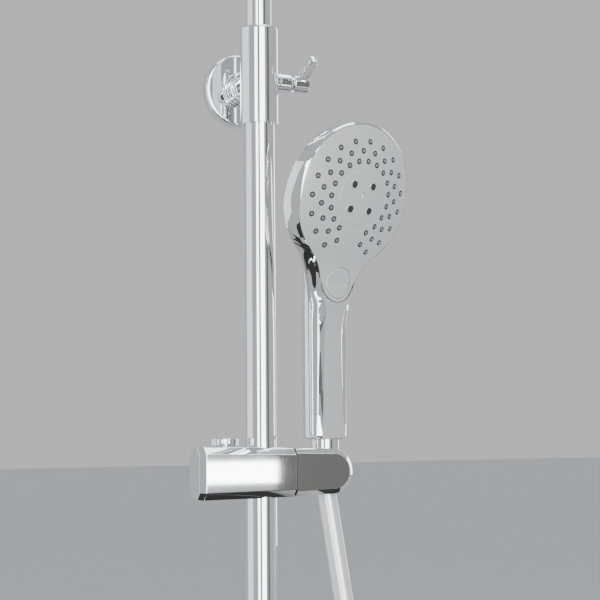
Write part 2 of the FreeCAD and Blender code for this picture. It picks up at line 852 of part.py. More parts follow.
SOCKET = ("socket_reach", "-axis_gap")
socket_span = 60
holder = cut(
    "holder",
    feature("holder_block", holder_block()),
    cone(
        "socket",
        f"socket_radius - socket_taper * {socket_span}",
        f"socket_radius + socket_taper * {socket_span}",
        2 * socket_span,
        (*SOCKET, f"-slider_drop - {socket_span}"),
    ),
    rod(
        "pivot_hole",
        "pivot_radius + running_gap",
        "pivot_reach + 2 * body_gap",
        ("0", "-axis_gap", "-slider_drop"),
        TO_RIGHT,
    ),
)

# --- Hose cone: the conical nut that sits in the socket. ---
cone_top = "grip_base - running_gap"
hose_cone = cut(
    "hose_cone",
    cone(
        "cone_blank",
        "socket_radius - socket_taper * cone_below - cone_gap",
        f"socket_radius + socket_taper * ({cone_top}) - cone_gap",
        f"{cone_top} + cone_below",
        (*SOCKET, "-slider_drop - cone_below"),
    ),
    rod("cone_mouth", "hose_radius", "cone_below + 6", (*SOCKET, "-slider_drop - cone_below")),
    rod("cone_way", "5", "30", (*SOCKET, "-slider_drop")),
    rod("cone_thread", "grip_bore + running_gap", "30", (*SOCKET, "-slider_drop + 12")),
)

# --- Hand shower: everything is laid out facing -Y and turned about the socket's axis. ---
TURN = Rotation(Vector(0, 0, 1), number("handset_turn"))
FACE = TURN.multiply(Rotation(Vector(1, 0, 0), 90 + number("face_tilt")))
KEY = TURN.multiply(Rotation(Vector(1, 0, 0), 90 + number("select_tilt")))


def forward(distance, height):
    """A place in the hand shower's middle plane, as three formulas."""
    return (
        f"socket_reach + ({distance}) * sin(handset_turn)",
        f"-axis_gap - ({distance}) * cos(handset_turn)",
        f"-slider_drop + {height}",
    )


def behind(depth, lift=0):
    """A place behind the spray face's centre by depth and up along the face by lift."""
    away = f"face_forward - ({depth}) * cos(face_tilt) + ({lift}) * sin(face_tilt)"
    return forward(away, f"face_height + ({depth}) * sin(face_tilt) + ({lift}) * cos(face_tilt)")


handset_connector = ring(
    "handset_connector",
    "5.5",
    "grip_bore",
    "grip_base - 2",
    forward("0", "12.2"),
)
water_tube = ring(
    "water_tube",
    "6",
    "grip_bore",
    "grip_top - grip_base - 14",
    forward("0", "grip_base + 10.2"),
)


def middle_plane(points, half_width):
    """A solid of constant width from an outline of distance forward and height."""
    corners = [Vector(0, -number(a), number(b)) for a, b in points]
    face = Part.Face(Part.makePolygon(corners + corners[:1]))
    solid = face.extrude(Vector(2 * half_width, 0, 0))
    solid.translate(Vector(-half_width, 0, 0))
    solid.Placement = Placement(Vector(*map(number, forward("0", "0"))), TURN)
    return solid


def oval(half_width, front, back, height):
    """A level oval section of the neck, from back to front of the socket's axis."""
    centre = Vector(0, -(front + back) / 2, height)
    half_depth = (front - back) / 2
    long, short = max(half_width, half_depth), min(half_width, half_depth)
    way = Vector(1, 0, 0) if half_width >= half_depth else Vector(0, 1, 0)
    ellipse = Part.Ellipse(centre + way * long, centre + Vector(0, 0, 1).cross(way) * short, centre)
    return Part.Wire(ellipse.toShape())


def neck_solid():
    """The neck, lofted from the handle up into the back of the head."""
    grip, flat, top = (number(n) for n in ("grip_radius", "grip_flat", "grip_top"))
    sections = [
        oval(grip, flat, -grip, top - 14),
        oval(grip + 1.5, flat + 2, -grip + 3, top),
        oval(grip + 9, flat + 5, -grip + 10, top + 18),
        oval(grip + 21, flat + 14, -grip + 20, top + 36),
    ]
    solid = Part.makeLoft(sections, True, False)
    solid.Placement = Placement(Vector(*map(number, forward("0", "0"))), TURN)
    return solid


def along_face(depth, lift):
    """Distance forward and height of a place behind the face's centre and up along it."""
    return (
        f"face_forward - {depth} * cos(face_tilt) + {lift} * sin(face_tilt)",
        f"face_height + {depth} * sin(face_tilt) + {lift} * cos(face_tilt)",
    )


# The tongue is the part of the face plate that runs down over the neck.
tongue_edge = [
    along_face(1.8, "-21.5"),
    along_face(4.6, "-36.6"),
    ("select_forward + 6.2", "select_height + 15"),
    ("select_forward + 1.3", "select_height + 5"),
    ("select_forward - 0.9", "select_height - 5"),
    ("select_forward - 1.2", "select_height - 16"),
]
tongue_back = [(f"{a} - plate_thick", b) for a, b in reversed(tongue_edge)]
ball_centre = behind("dome_radius")
dome_inner = ball("dome_inner", "dome_radius - plate_thick", ball_centre)
plate_disc = cut(
    "plate_disc",
    common(
        "plate_cap",
        ball("dome_outer", "dome_radius", ball_centre),
        rod("plate_edge", "spray_radius", "40", behind("30", "spray_shift"), FACE),
    ),
    dome_inner,
)
tongue = common(
    "plate_tongue",
    feature("tongue_band", middle_plane(tongue_edge + tongue_back, 40)),
    fuse(
        "tongue_outline",
        rod(
            "tongue_end",
            "select_radius + 3",
            "60",
            forward(
                "select_forward - 30 * cos(select_tilt)",
                "select_height + 30 * sin(select_tilt)",
            ),
            KEY,
        ),
        prism(
            "tongue_flare",
            "XZ_Plane",
            [
                ("select_radius + 2.6", 0),
                ("select_radius + 16", "26"),
                ("select_radius + 16", "44"),
                ("-select_radius - 16", "44"),
                ("-select_radius - 16", "26"),
                ("-select_radius - 2.6", 0),
            ],
            "120",
            forward("0", "select_height"),
            TURN,
        ),
    ),
)
key_well = rod(
    "key_well",
    "select_radius + body_gap",
    "20",
    forward("select_forward - 6.5", "select_height + 2"),
    KEY,
)
disc_room = rod("disc_room", "spray_radius", "60", behind("40", "spray_shift"), FACE)
handset_face = fuse(
    "handset_face",
    plate_disc,
    cut("tongue_part", tongue, disc_room, key_well),
)

SHIFTED = behind("shell_depth", "spray_shift / 2")
head_cup = common(
    "head_cup",
    cut(
        "cup_blank",
        lathe(
            "cup_outside",
            [
                (0, "-9"),
                ("shell_radius - 16", "-7"),
                ("shell_radius - 3", "-2"),
                ("shell_radius", 0),
                ("shell_radius - 1.5", "shell_depth"),
                (0, "shell_depth"),
            ],
            SHIFTED,
            FACE,
        ),
        lathe(
            "cup_inside",
            [
                (0, "-9 + shell_wall"),
                ("shell_radius - 16", "-7 + shell_wall"),
                ("shell_radius - 3 - shell_wall", 0),
                ("shell_radius - 3 - shell_wall", "shell_depth + 1"),
                (0, "shell_depth + 1"),
            ],
            SHIFTED,
            FACE,
        ),
    ),
    dome_inner,
)
grip_bar = common(
    "grip_bar",
    rod("grip_round", "grip_radius", "grip_top - 14 - grip_base", forward("0", "grip_base")),
    block(
        "grip_front",
        ("4 * grip_radius", "grip_radius + grip_flat", "grip_top"),
        (
            "socket_reach - 2 * grip_radius * cos(handset_turn) + grip_flat * sin(handset_turn)",
            "-axis_gap - 2 * grip_radius * sin(handset_turn) - grip_flat * cos(handset_turn)",
            "-slider_drop + grip_base",
        ),
        TURN,
    ),
)
cup_room = lathe(
    "cup_room",
    [
        (0, "-9 + shell_wall"),
        ("shell_radius - 16", "-7 + shell_wall"),
        ("shell_radius - 3 - shell_wall", 0),
        ("shell_radius - 3 - shell_wall", "60"),
        (0, "60"),
    ],
    SHIFTED,
    FACE,
)
front_room = feature(
    "front_room",
    middle_plane(
        [
            ("grip_flat", "grip_top - 16"),
            ("grip_flat + 3", "select_height - 16"),
            *((f"{a} - plate_thick - 0.02", b) for a, b in reversed(tongue_edge)),
            ("face_forward + 60", "face_height - 20"),
            ("face_forward + 60", "grip_top - 16"),
        ],
        80,
    ),
)
handset_shell = cut(
    "handset_shell",
    fuse(
        "shell_fused",
        head_cup,
        cut("neck", feature("neck_blank", neck_solid()), cup_room, front_room),
        grip_bar,
    ),
    rod("grip_hole", "grip_bore", "grip_top - grip_base - 2", forward("0", "grip_base - 0.5")),
    key_well,
)
select_button = rod(
    "select_button",
    "select_radius",
    "select_thick",
    forward("select_forward - select_thick", "select_height + 1"),
    KEY,
)


def on_dome(x, y, proud=0):
    """A point of the spray face's sphere and its outward direction, in the row's frame."""
    dome = number("dome_radius")
    out = Vector(x, y, math.sqrt(dome**2 - x**2 - y**2)) * (1 / dome)
    centre = Vector(*map(number, ball_centre))
    out = FACE.multVec(out)
    return centre + out * (dome + proud), out


def ring_places(radius, count):
    """Places round one ring, even about the top, that leave the neck's side free."""
    pitch = math.radians(number("ring_pitch"))
    start = -pitch * (count - 1) / 2
    return [
        (radius * math.sin(start + pitch * k), radius * math.cos(start + pitch * k))
        for k in range(count)
    ]


def nozzles():
    radius, proud = number("nozzle_radius"), number("nozzle_proud")
    made = []
    for name, count in (("ring_outer", 17), ("ring_middle", 18), ("ring_inner", 17)):
        for x, y in ring_places(number(name), count):
            foot, out = on_dome(x, y, 0.02)
            made.append(Part.makeCone(radius, 0.7 * radius, proud, foot, out))
    return Part.makeCompound(made)


def jets():
    """Four short collars with an open bore round the face's centre."""
    radius, spread = number("jet_radius"), number("jet_spread") / math.sqrt(2)
    made = []
    for x, y in ((spread, spread), (-spread, spread), (-spread, -spread), (spread, -spread)):
        foot, out = on_dome(x, y, 0.05)
        collar = Part.makeCylinder(radius, 1.2, foot, out)
        made.append(collar.cut(Part.makeCylinder(0.6 * radius, 3, foot - out, out)))
    return Part.makeCompound(made)


spray_nozzles = feature("spray_nozzles", nozzles())
spray_jets = feature("spray_jets", jets())
nozzle_mat = cut(
    "nozzle_mat",
    common(
        "mat_cap",
        dome_inner,
        rod("mat_edge", "ring_outer + 3", "40", behind("30"), FACE),
    ),
    ball("mat_back", "dome_radius - plate_thick - 1.6", ball_centre),
)
spray_selector = lathe(
    "spray_selector",
    [(0, 0), ("ring_outer - 6", 0), ("ring_outer - 6", 4), ("6", 4), ("6", 7), (0, 7)],
    behind("shell_depth - 1", "0"),
    FACE,
)

# --- Mixer: body, unions, covers, cartridges, handles, stop buttons and outlets. ---
MIXER_Z = "-mixer_drop"
inlets = [("left", "-inlet_spacing / 2"), ("right", "inlet_spacing / 2")]
body_bar = lathe(
    "mixer_bar",
    [
        ("cartridge_radius", 0),
        ("mixer_radius - 1", 0),
        ("mixer_radius", 1),
        ("mixer_radius", "2 * mixer_half - 1"),
        ("mixer_radius - 1", "2 * mixer_half"),
        ("cartridge_radius", "2 * mixer_half"),
        ("cartridge_radius", "2 * mixer_half - cartridge_length"),
        (0, "2 * mixer_half - cartridge_length"),
        (0, "cartridge_length"),
        ("cartridge_radius", "cartridge_length"),
    ],
    ("-mixer_half", "-axis_gap", MIXER_Z),
    TO_RIGHT,
)
nut_front = "-axis_gap + mixer_radius + 1"
boss_end = "-axis_gap + mixer_radius + 5"
boss_start = "cartridge_radius + 1"
mixer_body = fuse(
    "mixer_body",
    body_bar,
    rod("riser_boss", "riser_radius", "8", (*AXIS, "-mixer_drop + mixer_radius - 2")),
    rod(
        "outlet_boss",
        "outlet_radius + 1.5",
        "8",
        ("-outlet_at", "-axis_gap", "-mixer_drop - mixer_radius + 2"),
        DOWN,
    ),
    rod(
        "outlet_spout",
        "outlet_radius",
        "16",
        ("-outlet_at", "-axis_gap", "-mixer_drop - mixer_radius + 2"),
        DOWN,
    ),
    *(
        rod(
            f"inlet_boss_{side}",
            "union_nut_radius - 3",
            f"{boss_end} + axis_gap - ({boss_start})",
            (x, f"-axis_gap + {boss_start}", MIXER_Z),
            TO_WALL,
        )
        for side, x in inlets
    ),
)
wall_plane = f"-({boss_end})"
wall_unions = group(
    "wall_unions",
    *(
        lathe(
            f"union_{side}",
            [
                ("union_bore", 0),
                ("union_collar", 0),
                ("union_collar", wall_plane),
                ("union_radius", wall_plane),
                ("union_radius", f"union_tail - ({boss_end})"),
                ("union_bore", f"union_tail - ({boss_end})"),
            ],
            (x, boss_end, MIXER_Z),
            TO_WALL,
        )
        for side, x in inlets
    ),
)
union_nuts = group(
    "union_nuts",
    *(
        lathe(
            f"union_nut_{side}",
            [
                ("union_nut_radius - 3", 0),
                ("union_nut_radius", 0),
                ("union_nut_radius", "12"),
                ("union_collar", "12"),
                ("union_collar", f"{boss_end} - ({nut_front})"),
                ("union_nut_radius - 3", f"{boss_end} - ({nut_front})"),
            ],
            (x, nut_front, MIXER_Z),
            TO_WALL,
        )
        for side, x in inlets
    ),
)
cover_plates = group(
    "cover_plates",
    *(
        lathe(
            f"cover_{side}",
            [
                ("cover_radius - 1.5", 0),
                ("cover_radius", 0),
                ("cover_radius - 2", "cover_depth - 3"),
                ("cover_radius - 10", "cover_depth"),
                ("union_collar", "cover_depth"),
                ("union_collar", "cover_depth - 1.5"),
                ("cover_radius - 10", "cover_depth - 1.5"),
                ("cover_radius - 3.5", "cover_depth - 4"),
            ],
            (x, "0", MIXER_Z),
            TO_ROOM,
        )
        for side, x in inlets
    ),
)
inlet_filters = group(
    "inlet_filters",
    *(
        ring(f"filter_{side}", "4", "union_bore", "3", (x, boss_end, MIXER_Z), TO_WALL)
        for side, x in inlets
    ),
)
riser_nut = lathe(
    "riser_nut",
    [
        ("riser_radius", 0),
        ("riser_nut_radius - 0.8", 0),
        ("riser_nut_radius", 0.8),
        ("riser_nut_radius", "20"),
        ("riser_nut_radius - 1.5", "22"),
        ("riser_radius", "22"),
    ],
    (*AXIS, "-mixer_drop + mixer_radius + 0.5"),
)
hose_nut = lathe(
    "hose_nut",
    [
        ("hose_radius", 0),
        ("hose_nut_radius - 1", 0),
        ("hose_nut_radius", 1),
        ("hose_nut_radius", "19"),
        ("outlet_radius", "19"),
        ("outlet_radius", "11"),
        ("hose_radius", "11"),
    ],
    ("-outlet_at", "-axis_gap", "-mixer_drop - mixer_radius - 25"),
)


def cartridge(name, x, turn):
    """A cartridge that fills the body's bore, with a hole for the handle's stem."""
    return lathe(
        name,
        [
            (0, 0),
            ("cartridge_radius", 0),
            ("cartridge_radius", "cartridge_length - 1"),
            ("valve_stem + running_gap", "cartridge_length - 1"),
            ("valve_stem + running_gap", "cartridge_length - 18"),
            (0, "cartridge_length - 18"),
        ],
        (x, "-axis_gap", MIXER_Z),
        turn,
    )


thermostat_cartridge = cartridge(
    "thermostat_cartridge", "-mixer_half + cartridge_length", TO_LEFT
)
diverter_cartridge = cartridge("diverter_cartridge", "mixer_half - cartridge_length", TO_RIGHT)


def handle(name, sign, turn):
    """A round handle with its stem, and a pocket in front for the stop button."""
    start = f"{sign}(mixer_half + handle_gap)"
    stop_x = f"{sign}(mixer_half + handle_length * 0.68)"
    blank = lathe(
        f"{name}_blank",
        [
            (0, "-16"),
            ("valve_stem", "-16"),
            ("valve_stem", 0),
            ("handle_radius - 1", 0),
            ("handle_radius", 1),
            ("handle_radius", "handle_length - 2"),
            ("handle_radius - 2", "handle_length"),
            (0, "handle_length"),
        ],
        (start, "-axis_gap", MIXER_Z),
        turn,
    )
    pocket = rod(
        f"{name}_pocket",
        "stop_radius + running_gap",
        "10 + stop_proud",
        (stop_x, "-axis_gap - handle_radius + 8", MIXER_Z),
        TO_ROOM,
    )
    stop = lathe(
        f"{name}_stop",
        [
            (0, 0),
            ("stop_radius", 0),
            ("stop_radius", "4.6 + stop_proud"),
            ("stop_radius - 0.6", "5.2 + stop_proud"),
            (0, "5.2 + stop_proud"),
        ],
        (stop_x, "-axis_gap - handle_radius + 5", MIXER_Z),
        TO_ROOM,
    )
    return cut(name, blank, pocket), stop


temperature_handle, temperature_stop = handle("temperature_handle", "-", TO_LEFT)
flow_handle, flow_stop = handle("flow_handle", "", TO_RIGHT)
temperature_stop.Label = "temperature_stop"
flow_stop.Label = "flow_stop"

# --- Hose: from the cone in the holder, hanging in one loop, to the mixer's outlet. ---
# The points are the corners of straight runs; tangent arcs round them off.
socket_x, axis_y, slider_z = (number(f) for f in (*SOCKET, "-slider_drop"))
outlet_x, outlet_z = number("-outlet_at"), number("-mixer_drop - mixer_radius - 14")
HOSE_TOP = [
    (socket_x, axis_y, slider_z + 4),
    (socket_x, axis_y, slider_z - 11),
    (socket_x + 2.7, axis_y - 2.9, slider_z - 34),
    (socket_x + 7.6, axis_y - 7.6, slider_z - 78),
    (socket_x + 16, axis_y - 16, slider_z - 152),
]
HOSE_MIDDLE = [
    (socket_x + 26, axis_y - 29, slider_z - 270),
    (socket_x + 33, axis_y - 41, slider_z - 425),
    (socket_x + 36, axis_y - 48, slider_z - 590),
]
HOSE_LOOP = [
    (socket_x + 36, axis_y - 49, slider_z - 755),
    (socket_x + 34, axis_y - 46, slider_z - 905),
    (socket_x + 33, axis_y - 41, slider_z - 1010),
    (socket_x + 11, axis_y - 35, slider_z - 1050),
    (socket_x - 28, axis_y - 28, slider_z - 1073),
    (outlet_x + 26, axis_y - 20, slider_z - 1073),
    (outlet_x - 13, axis_y - 13, slider_z - 1051),
    (outlet_x - 36, axis_y - 8, slider_z - 1012),
    (outlet_x - 37, axis_y - 4, slider_z - 945),
    (outlet_x - 26, axis_y - 1, slider_z - 875),
    (outlet_x - 9, axis_y + 0.5, slider_z - 813),
    (outlet_x, axis_y, slider_z - 767),
    (outlet_x, axis_y, outlet_z),
]
ROUTE = [Vector(*p) for p in HOSE_TOP + HOSE_MIDDLE + HOSE_LOOP]


def rounded_path(points):
    """Straight runs joined by tangent arcs, each as large as its two runs allow."""
    edges, start, radii = [], points[0], []
    for before, corner, after in zip(points, points[1:], points[2:]):
        into, out = (corner - before), (after - corner)
        turn = into.getAngle(out)
        back = 0.45 * min(into.Length, out.Length)
        radii.append(back / math.tan(turn / 2))
        into.normalize()
        out.normalize()
        first, last = corner - into * back, corner + out * back
        inward = (out - into).normalize()
        sag = radii[-1] * (1 / math.cos(turn / 2) - 1)
        edges.append(Part.LineSegment(start, first).toShape())
        edges.append(Part.Arc(first, corner + inward * sag, last).toShape())
        start = last
    edges.append(Part.LineSegment(start, points[-1]).toShape())
    return edges, radii


def tube(edges, radius):
    """A solid round tube along joined edges."""
    wire = Part.Wire(edges)
    start = edges[0].valueAt(edges[0].FirstParameter)
    way = edges[0].tangentAt(edges[0].FirstParameter)
    section = Part.Wire(Part.makeCircle(radius, start, way))
    return wire.makePipeShell([section], True, False), wire.Length


hose_edges, hose_radii = rounded_path(ROUTE)
print("hose arcs' radii:", [round(r) for r in hose_radii])
# The three lengths meet on straight runs: below the holder, and above the loop.
HOSE_PARTS = (("hose_top", 0, 7), ("hose_middle", 7, 15), ("hose_loop", 15, len(hose_edges)))
hose_parts = []
for name, first, last in HOSE_PARTS:
    solid, length = tube(hose_edges[first:last], number("hose_radius"))
    ideal = math.pi * number("hose_radius") ** 2 * length
    print(f"{name}: {length:.1f} mm long, volume {solid.Volume / ideal:.4f} of its ideal")
    hose_parts.append(feature(name, solid))

# --- Check everything, then write one file for each node. ---
NODES = [
    riser_tube, bracket_sleeve, sleeve_bush, bracket_arm, arm_set_screw, wall_plate,
    wall_flange, lock_boss, lock_lever, lock_spindle, overhead_pipe, slide_guide,
    slide_seal, swivel_ball, swivel_seat, swivel_nut, rain_shell, rain_gasket, rain_face,
    rain_nozzles, slider_body, grip_bush, brake_shoe, release_button, button_spring,
    pivot_pin, friction_washer, holder, hose_cone, handset_connector, water_tube,
    handset_shell, handset_face, select_button, spray_nozzles, spray_jets, nozzle_mat,
    spray_selector, mixer_body, wall_unions, union_nuts, cover_plates, inlet_filters,
    riser_nut, hose_nut, thermostat_cartridge, diverter_cartridge, temperature_handle,
    temperature_stop, flow_handle, flow_stop, *hose_parts,
]

doc.recompute()
for made in doc.Objects:
    if "Invalid" in made.State or "Error" in made.State:
        raise RuntimeError(f"{made.Label} failed: {made.State}")
for node in NODES:
    if node.Shape.isNull() or not node.Shape.isValid() or not node.Shape.Solids:
        raise RuntimeError(f"{node.Label} has no valid solid")
os.makedirs("parts", exist_ok=True)
for node in NODES:
    node.Shape.exportStep(f"parts/{node.Label}.step")
print(len(NODES), "nodes,", sum(len(n.Shape.Solids) for n in NODES), "solids")
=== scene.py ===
import json
import math

import bmesh
import bpy
import numpy as np
from mathutils import Matrix, Vector


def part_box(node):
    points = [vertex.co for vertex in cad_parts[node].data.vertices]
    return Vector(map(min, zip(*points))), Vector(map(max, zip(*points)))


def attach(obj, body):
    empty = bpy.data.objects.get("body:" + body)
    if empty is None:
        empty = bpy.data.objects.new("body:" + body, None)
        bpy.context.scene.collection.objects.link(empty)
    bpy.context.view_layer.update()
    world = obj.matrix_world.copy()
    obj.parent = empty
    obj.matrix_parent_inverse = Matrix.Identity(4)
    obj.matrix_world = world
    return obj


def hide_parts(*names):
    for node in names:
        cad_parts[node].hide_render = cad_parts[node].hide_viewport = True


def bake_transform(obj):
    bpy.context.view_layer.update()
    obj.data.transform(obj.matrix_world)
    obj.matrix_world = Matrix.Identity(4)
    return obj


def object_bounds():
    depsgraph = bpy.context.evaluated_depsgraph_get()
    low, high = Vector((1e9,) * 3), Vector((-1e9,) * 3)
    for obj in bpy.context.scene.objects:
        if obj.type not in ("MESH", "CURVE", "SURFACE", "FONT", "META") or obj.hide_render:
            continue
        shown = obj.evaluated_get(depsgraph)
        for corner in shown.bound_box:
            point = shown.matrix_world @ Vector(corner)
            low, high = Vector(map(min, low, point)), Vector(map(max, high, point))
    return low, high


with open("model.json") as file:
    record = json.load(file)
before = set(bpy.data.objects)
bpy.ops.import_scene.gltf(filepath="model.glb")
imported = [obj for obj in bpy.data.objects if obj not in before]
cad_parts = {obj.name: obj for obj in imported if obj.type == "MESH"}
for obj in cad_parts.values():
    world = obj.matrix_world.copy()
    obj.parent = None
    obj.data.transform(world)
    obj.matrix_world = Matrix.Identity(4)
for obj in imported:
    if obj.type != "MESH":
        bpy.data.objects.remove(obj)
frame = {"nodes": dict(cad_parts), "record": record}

cad_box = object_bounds()

# --- Camera: at the level of a person's chest, to the left of the column, with a long lens
# that takes in the bracket, the hand shower and the slider.
camera_data = bpy.data.cameras.new("camera")
camera_data.lens = 84
camera_data.sensor_width = 36
camera = bpy.data.objects.new("camera", camera_data)
bpy.context.scene.collection.objects.link(camera)
camera.matrix_world = (
    Matrix.Translation((-0.4240, -1.0385, -0.2712))
    @ Matrix.Rotation(math.radians(-24.8), 4, "Z")
    @ Matrix.Rotation(math.radians(95.2), 4, "X")
    @ Matrix.Rotation(math.radians(-0.47), 4, "Z")
)
bpy.context.scene.camera = camera


# --- Hose: 1.5 m of smooth silver PVC, 15 mm across, from the cone under the holder down the
# right of the riser, in one loop under the mixer, and up into the outlet. It is one line cut
# in three lengths, at the feet of the CAD's upper two hose pieces.
def finish_of(slot, light, dark, metallic, rough, spread, grain, relief, coat=0.0):
    """A finish whose colour goes between two close tones, and its roughness up and down by
    the spread, with a soft noise; a finer noise raises the surface by the relief."""
    made = bpy.data.materials.new(slot)
    made.use_nodes = True
    nodes, links = made.node_tree.nodes, made.node_tree.links
    shader = nodes["Principled BSDF"]
    shader.inputs["Metallic"].default_value = metallic
    shader.inputs["Coat Weight"].default_value = coat
    shader.inputs["Coat Roughness"].default_value = 0.08
    place = nodes.new("ShaderNodeTexCoord")
    soft = nodes.new("ShaderNodeTexNoise")
    soft.inputs["Scale"].default_value = grain
    soft.inputs["Detail"].default_value = 4
    links.new(place.outputs["Object"], soft.inputs["Vector"])
    tone = nodes.new("ShaderNodeMix")
    tone.data_type = "RGBA"
    tone.inputs[6].default_value = (*dark, 1)
    tone.inputs[7].default_value = (*light, 1)
    links.new(soft.outputs["Fac"], tone.inputs[0])
    links.new(tone.outputs[2], shader.inputs["Base Color"])
    sheen = nodes.new("ShaderNodeMapRange")
    sheen.inputs["To Min"].default_value = rough - spread
    sheen.inputs["To Max"].default_value = rough + spread
    links.new(soft.outputs["Fac"], sheen.inputs["Value"])
    links.new(sheen.outputs["Result"], shader.inputs["Roughness"])
    fine = nodes.new("ShaderNodeTexNoise")
    fine.inputs["Scale"].default_value = grain * 22
    fine.inputs["Detail"].default_value = 2
    links.new(place.outputs["Object"], fine.inputs["Vector"])
    raised = nodes.new("ShaderNodeBump")
    raised.inputs["Strength"].default_value = 0.5
    raised.inputs["Distance"].default_value = relief
    links.new(fine.outputs["Fac"], raised.inputs["Height"])
    links.new(raised.outputs["Normal"], shader.inputs["Normal"])
    made["slot"] = slot
    return made


def quads(rows, columns, wrap_rows=False, wrap_columns=False):
    """The four corners of each cell of a grid of points, row by row."""
    r = np.arange(rows if wrap_rows else rows - 1)[:, None]
    c = np.arange(columns if wrap_columns else columns - 1)[None, :]
    down, right = (r + 1) % rows, (c + 1) % columns
    corners = (r * columns + c, r * columns + right, down * columns + right, down * columns + c)
    return np.stack([np.broadcast_to(k, (len(r), c.shape[1])) for k in corners], -1).reshape(-1, 4)


def piece_of(name, body, finish, grids, nodes=(), crease=32):
    """Joins grids of points into one closed mesh and puts it on its body. Each grid is the
    points, then whether its rows and its columns close on themselves."""
    points, faces, count = [], [], 0
    for grid, wrap_rows, wrap_columns in grids:
        rows, columns = grid.shape[:2]
        faces.append(quads(rows, columns, wrap_rows, wrap_columns) + count)
        points.append(grid.reshape(-1, 3))
        count += rows * columns
    mesh = bpy.data.meshes.new(name)
    mesh.from_pydata(np.concatenate(points).tolist(), [], np.concatenate(faces).tolist())
    work = bmesh.new()
    work.from_mesh(mesh)
    bmesh.ops.remove_doubles(work, verts=work.verts, dist=2e-6)
    bmesh.ops.dissolve_degenerate(work, edges=work.edges, dist=1e-6)
    bmesh.ops.recalc_face_normals(work, faces=work.faces)
    work.to_mesh(mesh)
    work.free()
    mesh.shade_smooth()
    mesh.set_sharp_from_angle(angle=math.radians(crease))
    mesh.materials.append(finish)
    made = bpy.data.objects.new(name, mesh)
    bpy.context.scene.collection.objects.link(made)
    if body:
        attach(made, body)
    if nodes:
        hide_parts(*nodes)
    return made


def pipe(line, radius, sides, across):
    """Rings round a line: each ring stands square to the line, starting from the side that
    is square to both the line and one given direction; the ends close on the line."""
    way = np.gradient(line, axis=0)
    way /= np.linalg.norm(way, axis=1)[:, None]
    side = np.cross(way, across)
    side /= np.linalg.norm(side, axis=1)[:, None]
    up = np.cross(side, way)
    a = np.linspace(0, 2 * np.pi, sides, endpoint=False)
    turn = np.cos(a)[None, :, None] * side[:, None] + np.sin(a)[None, :, None] * up[:, None]
    radii = np.broadcast_to(radius, (len(line),))[:, None, None]
    rings = line[:, None] + radii * turn
    ends = [np.repeat(line[k][None, None], sides, 1) for k in (0, -1)]
    return np.concatenate([ends[0], rings, ends[1]]), False, True


hose_silver = finish_of(
    "hose_satin", (0.78, 0.78, 0.79), (0.72, 0.72, 0.735), 0.55, 0.30, 0.03, 30, 0.00001, 0.35
)
hose_route = [
    (0.0540, -0.0480, -0.3010), (0.0540, -0.0480, -0.3160), (0.0567, -0.0509, -0.3390),
    (0.0616, -0.0556, -0.3830), (0.0700, -0.0640, -0.4570), (0.0800, -0.0770, -0.5750),
    (0.0870, -0.0890, -0.7300), (0.0900, -0.0960, -0.8950), (0.0900, -0.0970, -1.0600),
    (0.0880, -0.0940, -1.2100), (0.0870, -0.0890, -1.3150), (0.0650, -0.0830, -1.3550),
    (0.0260, -0.0760, -1.3780), (-0.0190, -0.0680, -1.3780), (-0.0580, -0.0610, -1.3560),
    (-0.0810, -0.0560, -1.3170), (-0.0820, -0.0520, -1.2500), (-0.0710, -0.0490, -1.1800),
    (-0.0540, -0.0475, -1.1180), (-0.0450, -0.0480, -1.0720), (-0.0450, -0.0480, -1.0350),
]
hose_curve = bpy.data.curves.new("hose_line", "CURVE")
hose_curve.dimensions = "3D"
hose_spline = hose_curve.splines.new("NURBS")
hose_spline.points.add(len(hose_route) - 1)
for point, place in zip(hose_spline.points, hose_route):
    point.co = (*place, 1)
hose_spline.order_u = 3
hose_spline.use_endpoint_u = True
hose_spline.resolution_u = 16
hose_holder = bpy.data.objects.new("hose_line", hose_curve)
bpy.context.scene.collection.objects.link(hose_holder)
bpy.context.view_layer.update()
hose_mesh = bpy.data.meshes.new_from_object(hose_holder)
hose_line = np.array([v.co for v in hose_mesh.vertices])
bpy.data.objects.remove(hose_holder)
bpy.data.meshes.remove(hose_mesh)

hose_radius = 0.0075
hose_cuts = [0]
for node in ("hose_top", "hose_middle"):
    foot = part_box(node)[0].z
    hose_cuts.append(int(np.argmax(hose_line[:, 2] < foot)))
hose_cuts.append(len(hose_line) - 1)
hose_bodies = (("cone", "hand_holder"), ("hand_holder", "slider"), ("slider", "column"))
for node, first, last, (above, below) in zip(
    ("hose_top", "hose_middle", "hose_loop"), hose_cuts, hose_cuts[1:], hose_bodies
):
    line = hose_line[first : last + 1]
    hose = piece_of(node + "_tube", None, hose_silver, [pipe(line, hose_radius, 40, (0, 1, 0))])
    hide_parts(node)
    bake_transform(hose)


# --- Riser and overhead pipe: drawn brass tubes, polished and chromed, 24 and 20 mm across.
# The riser stands on the mixer and ends inside the bracket sleeve; the pipe slides in it.
def eased(points, steps=4):
    """A line of (radius, height, rounding): an arc tangent to both sides replaces each
    corner, and a point a little beyond each end of the arc keeps the flats flat."""
    line = []
    corners = [np.array(p[:2], float) for p in points]
    for k, corner in enumerate(corners):
        rounding = points[k][2] if len(points[k]) > 2 else 0
        if not rounding or k in (0, len(points) - 1):
            line.append(corner)
            continue
        into, out = corners[k - 1] - corner, corners[k + 1] - corner
        lengths = np.linalg.norm(into), np.linalg.norm(out)
        into, out = into / lengths[0], out / lengths[1]
        half = math.acos(np.clip(into @ out, -1, 1)) / 2
        back = min(rounding / math.tan(half), 0.42 * min(lengths))
        hold = [min(1.5 * back, 0.47 * side) for side in lengths]
        t = np.linspace(0, 1, steps + 1)[:, None]
        start, end = corner + into * back, corner + out * back
        arc = (1 - t) ** 2 * start + 2 * t * (1 - t) * corner + t**2 * end
        line += [corner + into * hold[0], *arc, corner + out * hold[1]]
    return np.array(line)


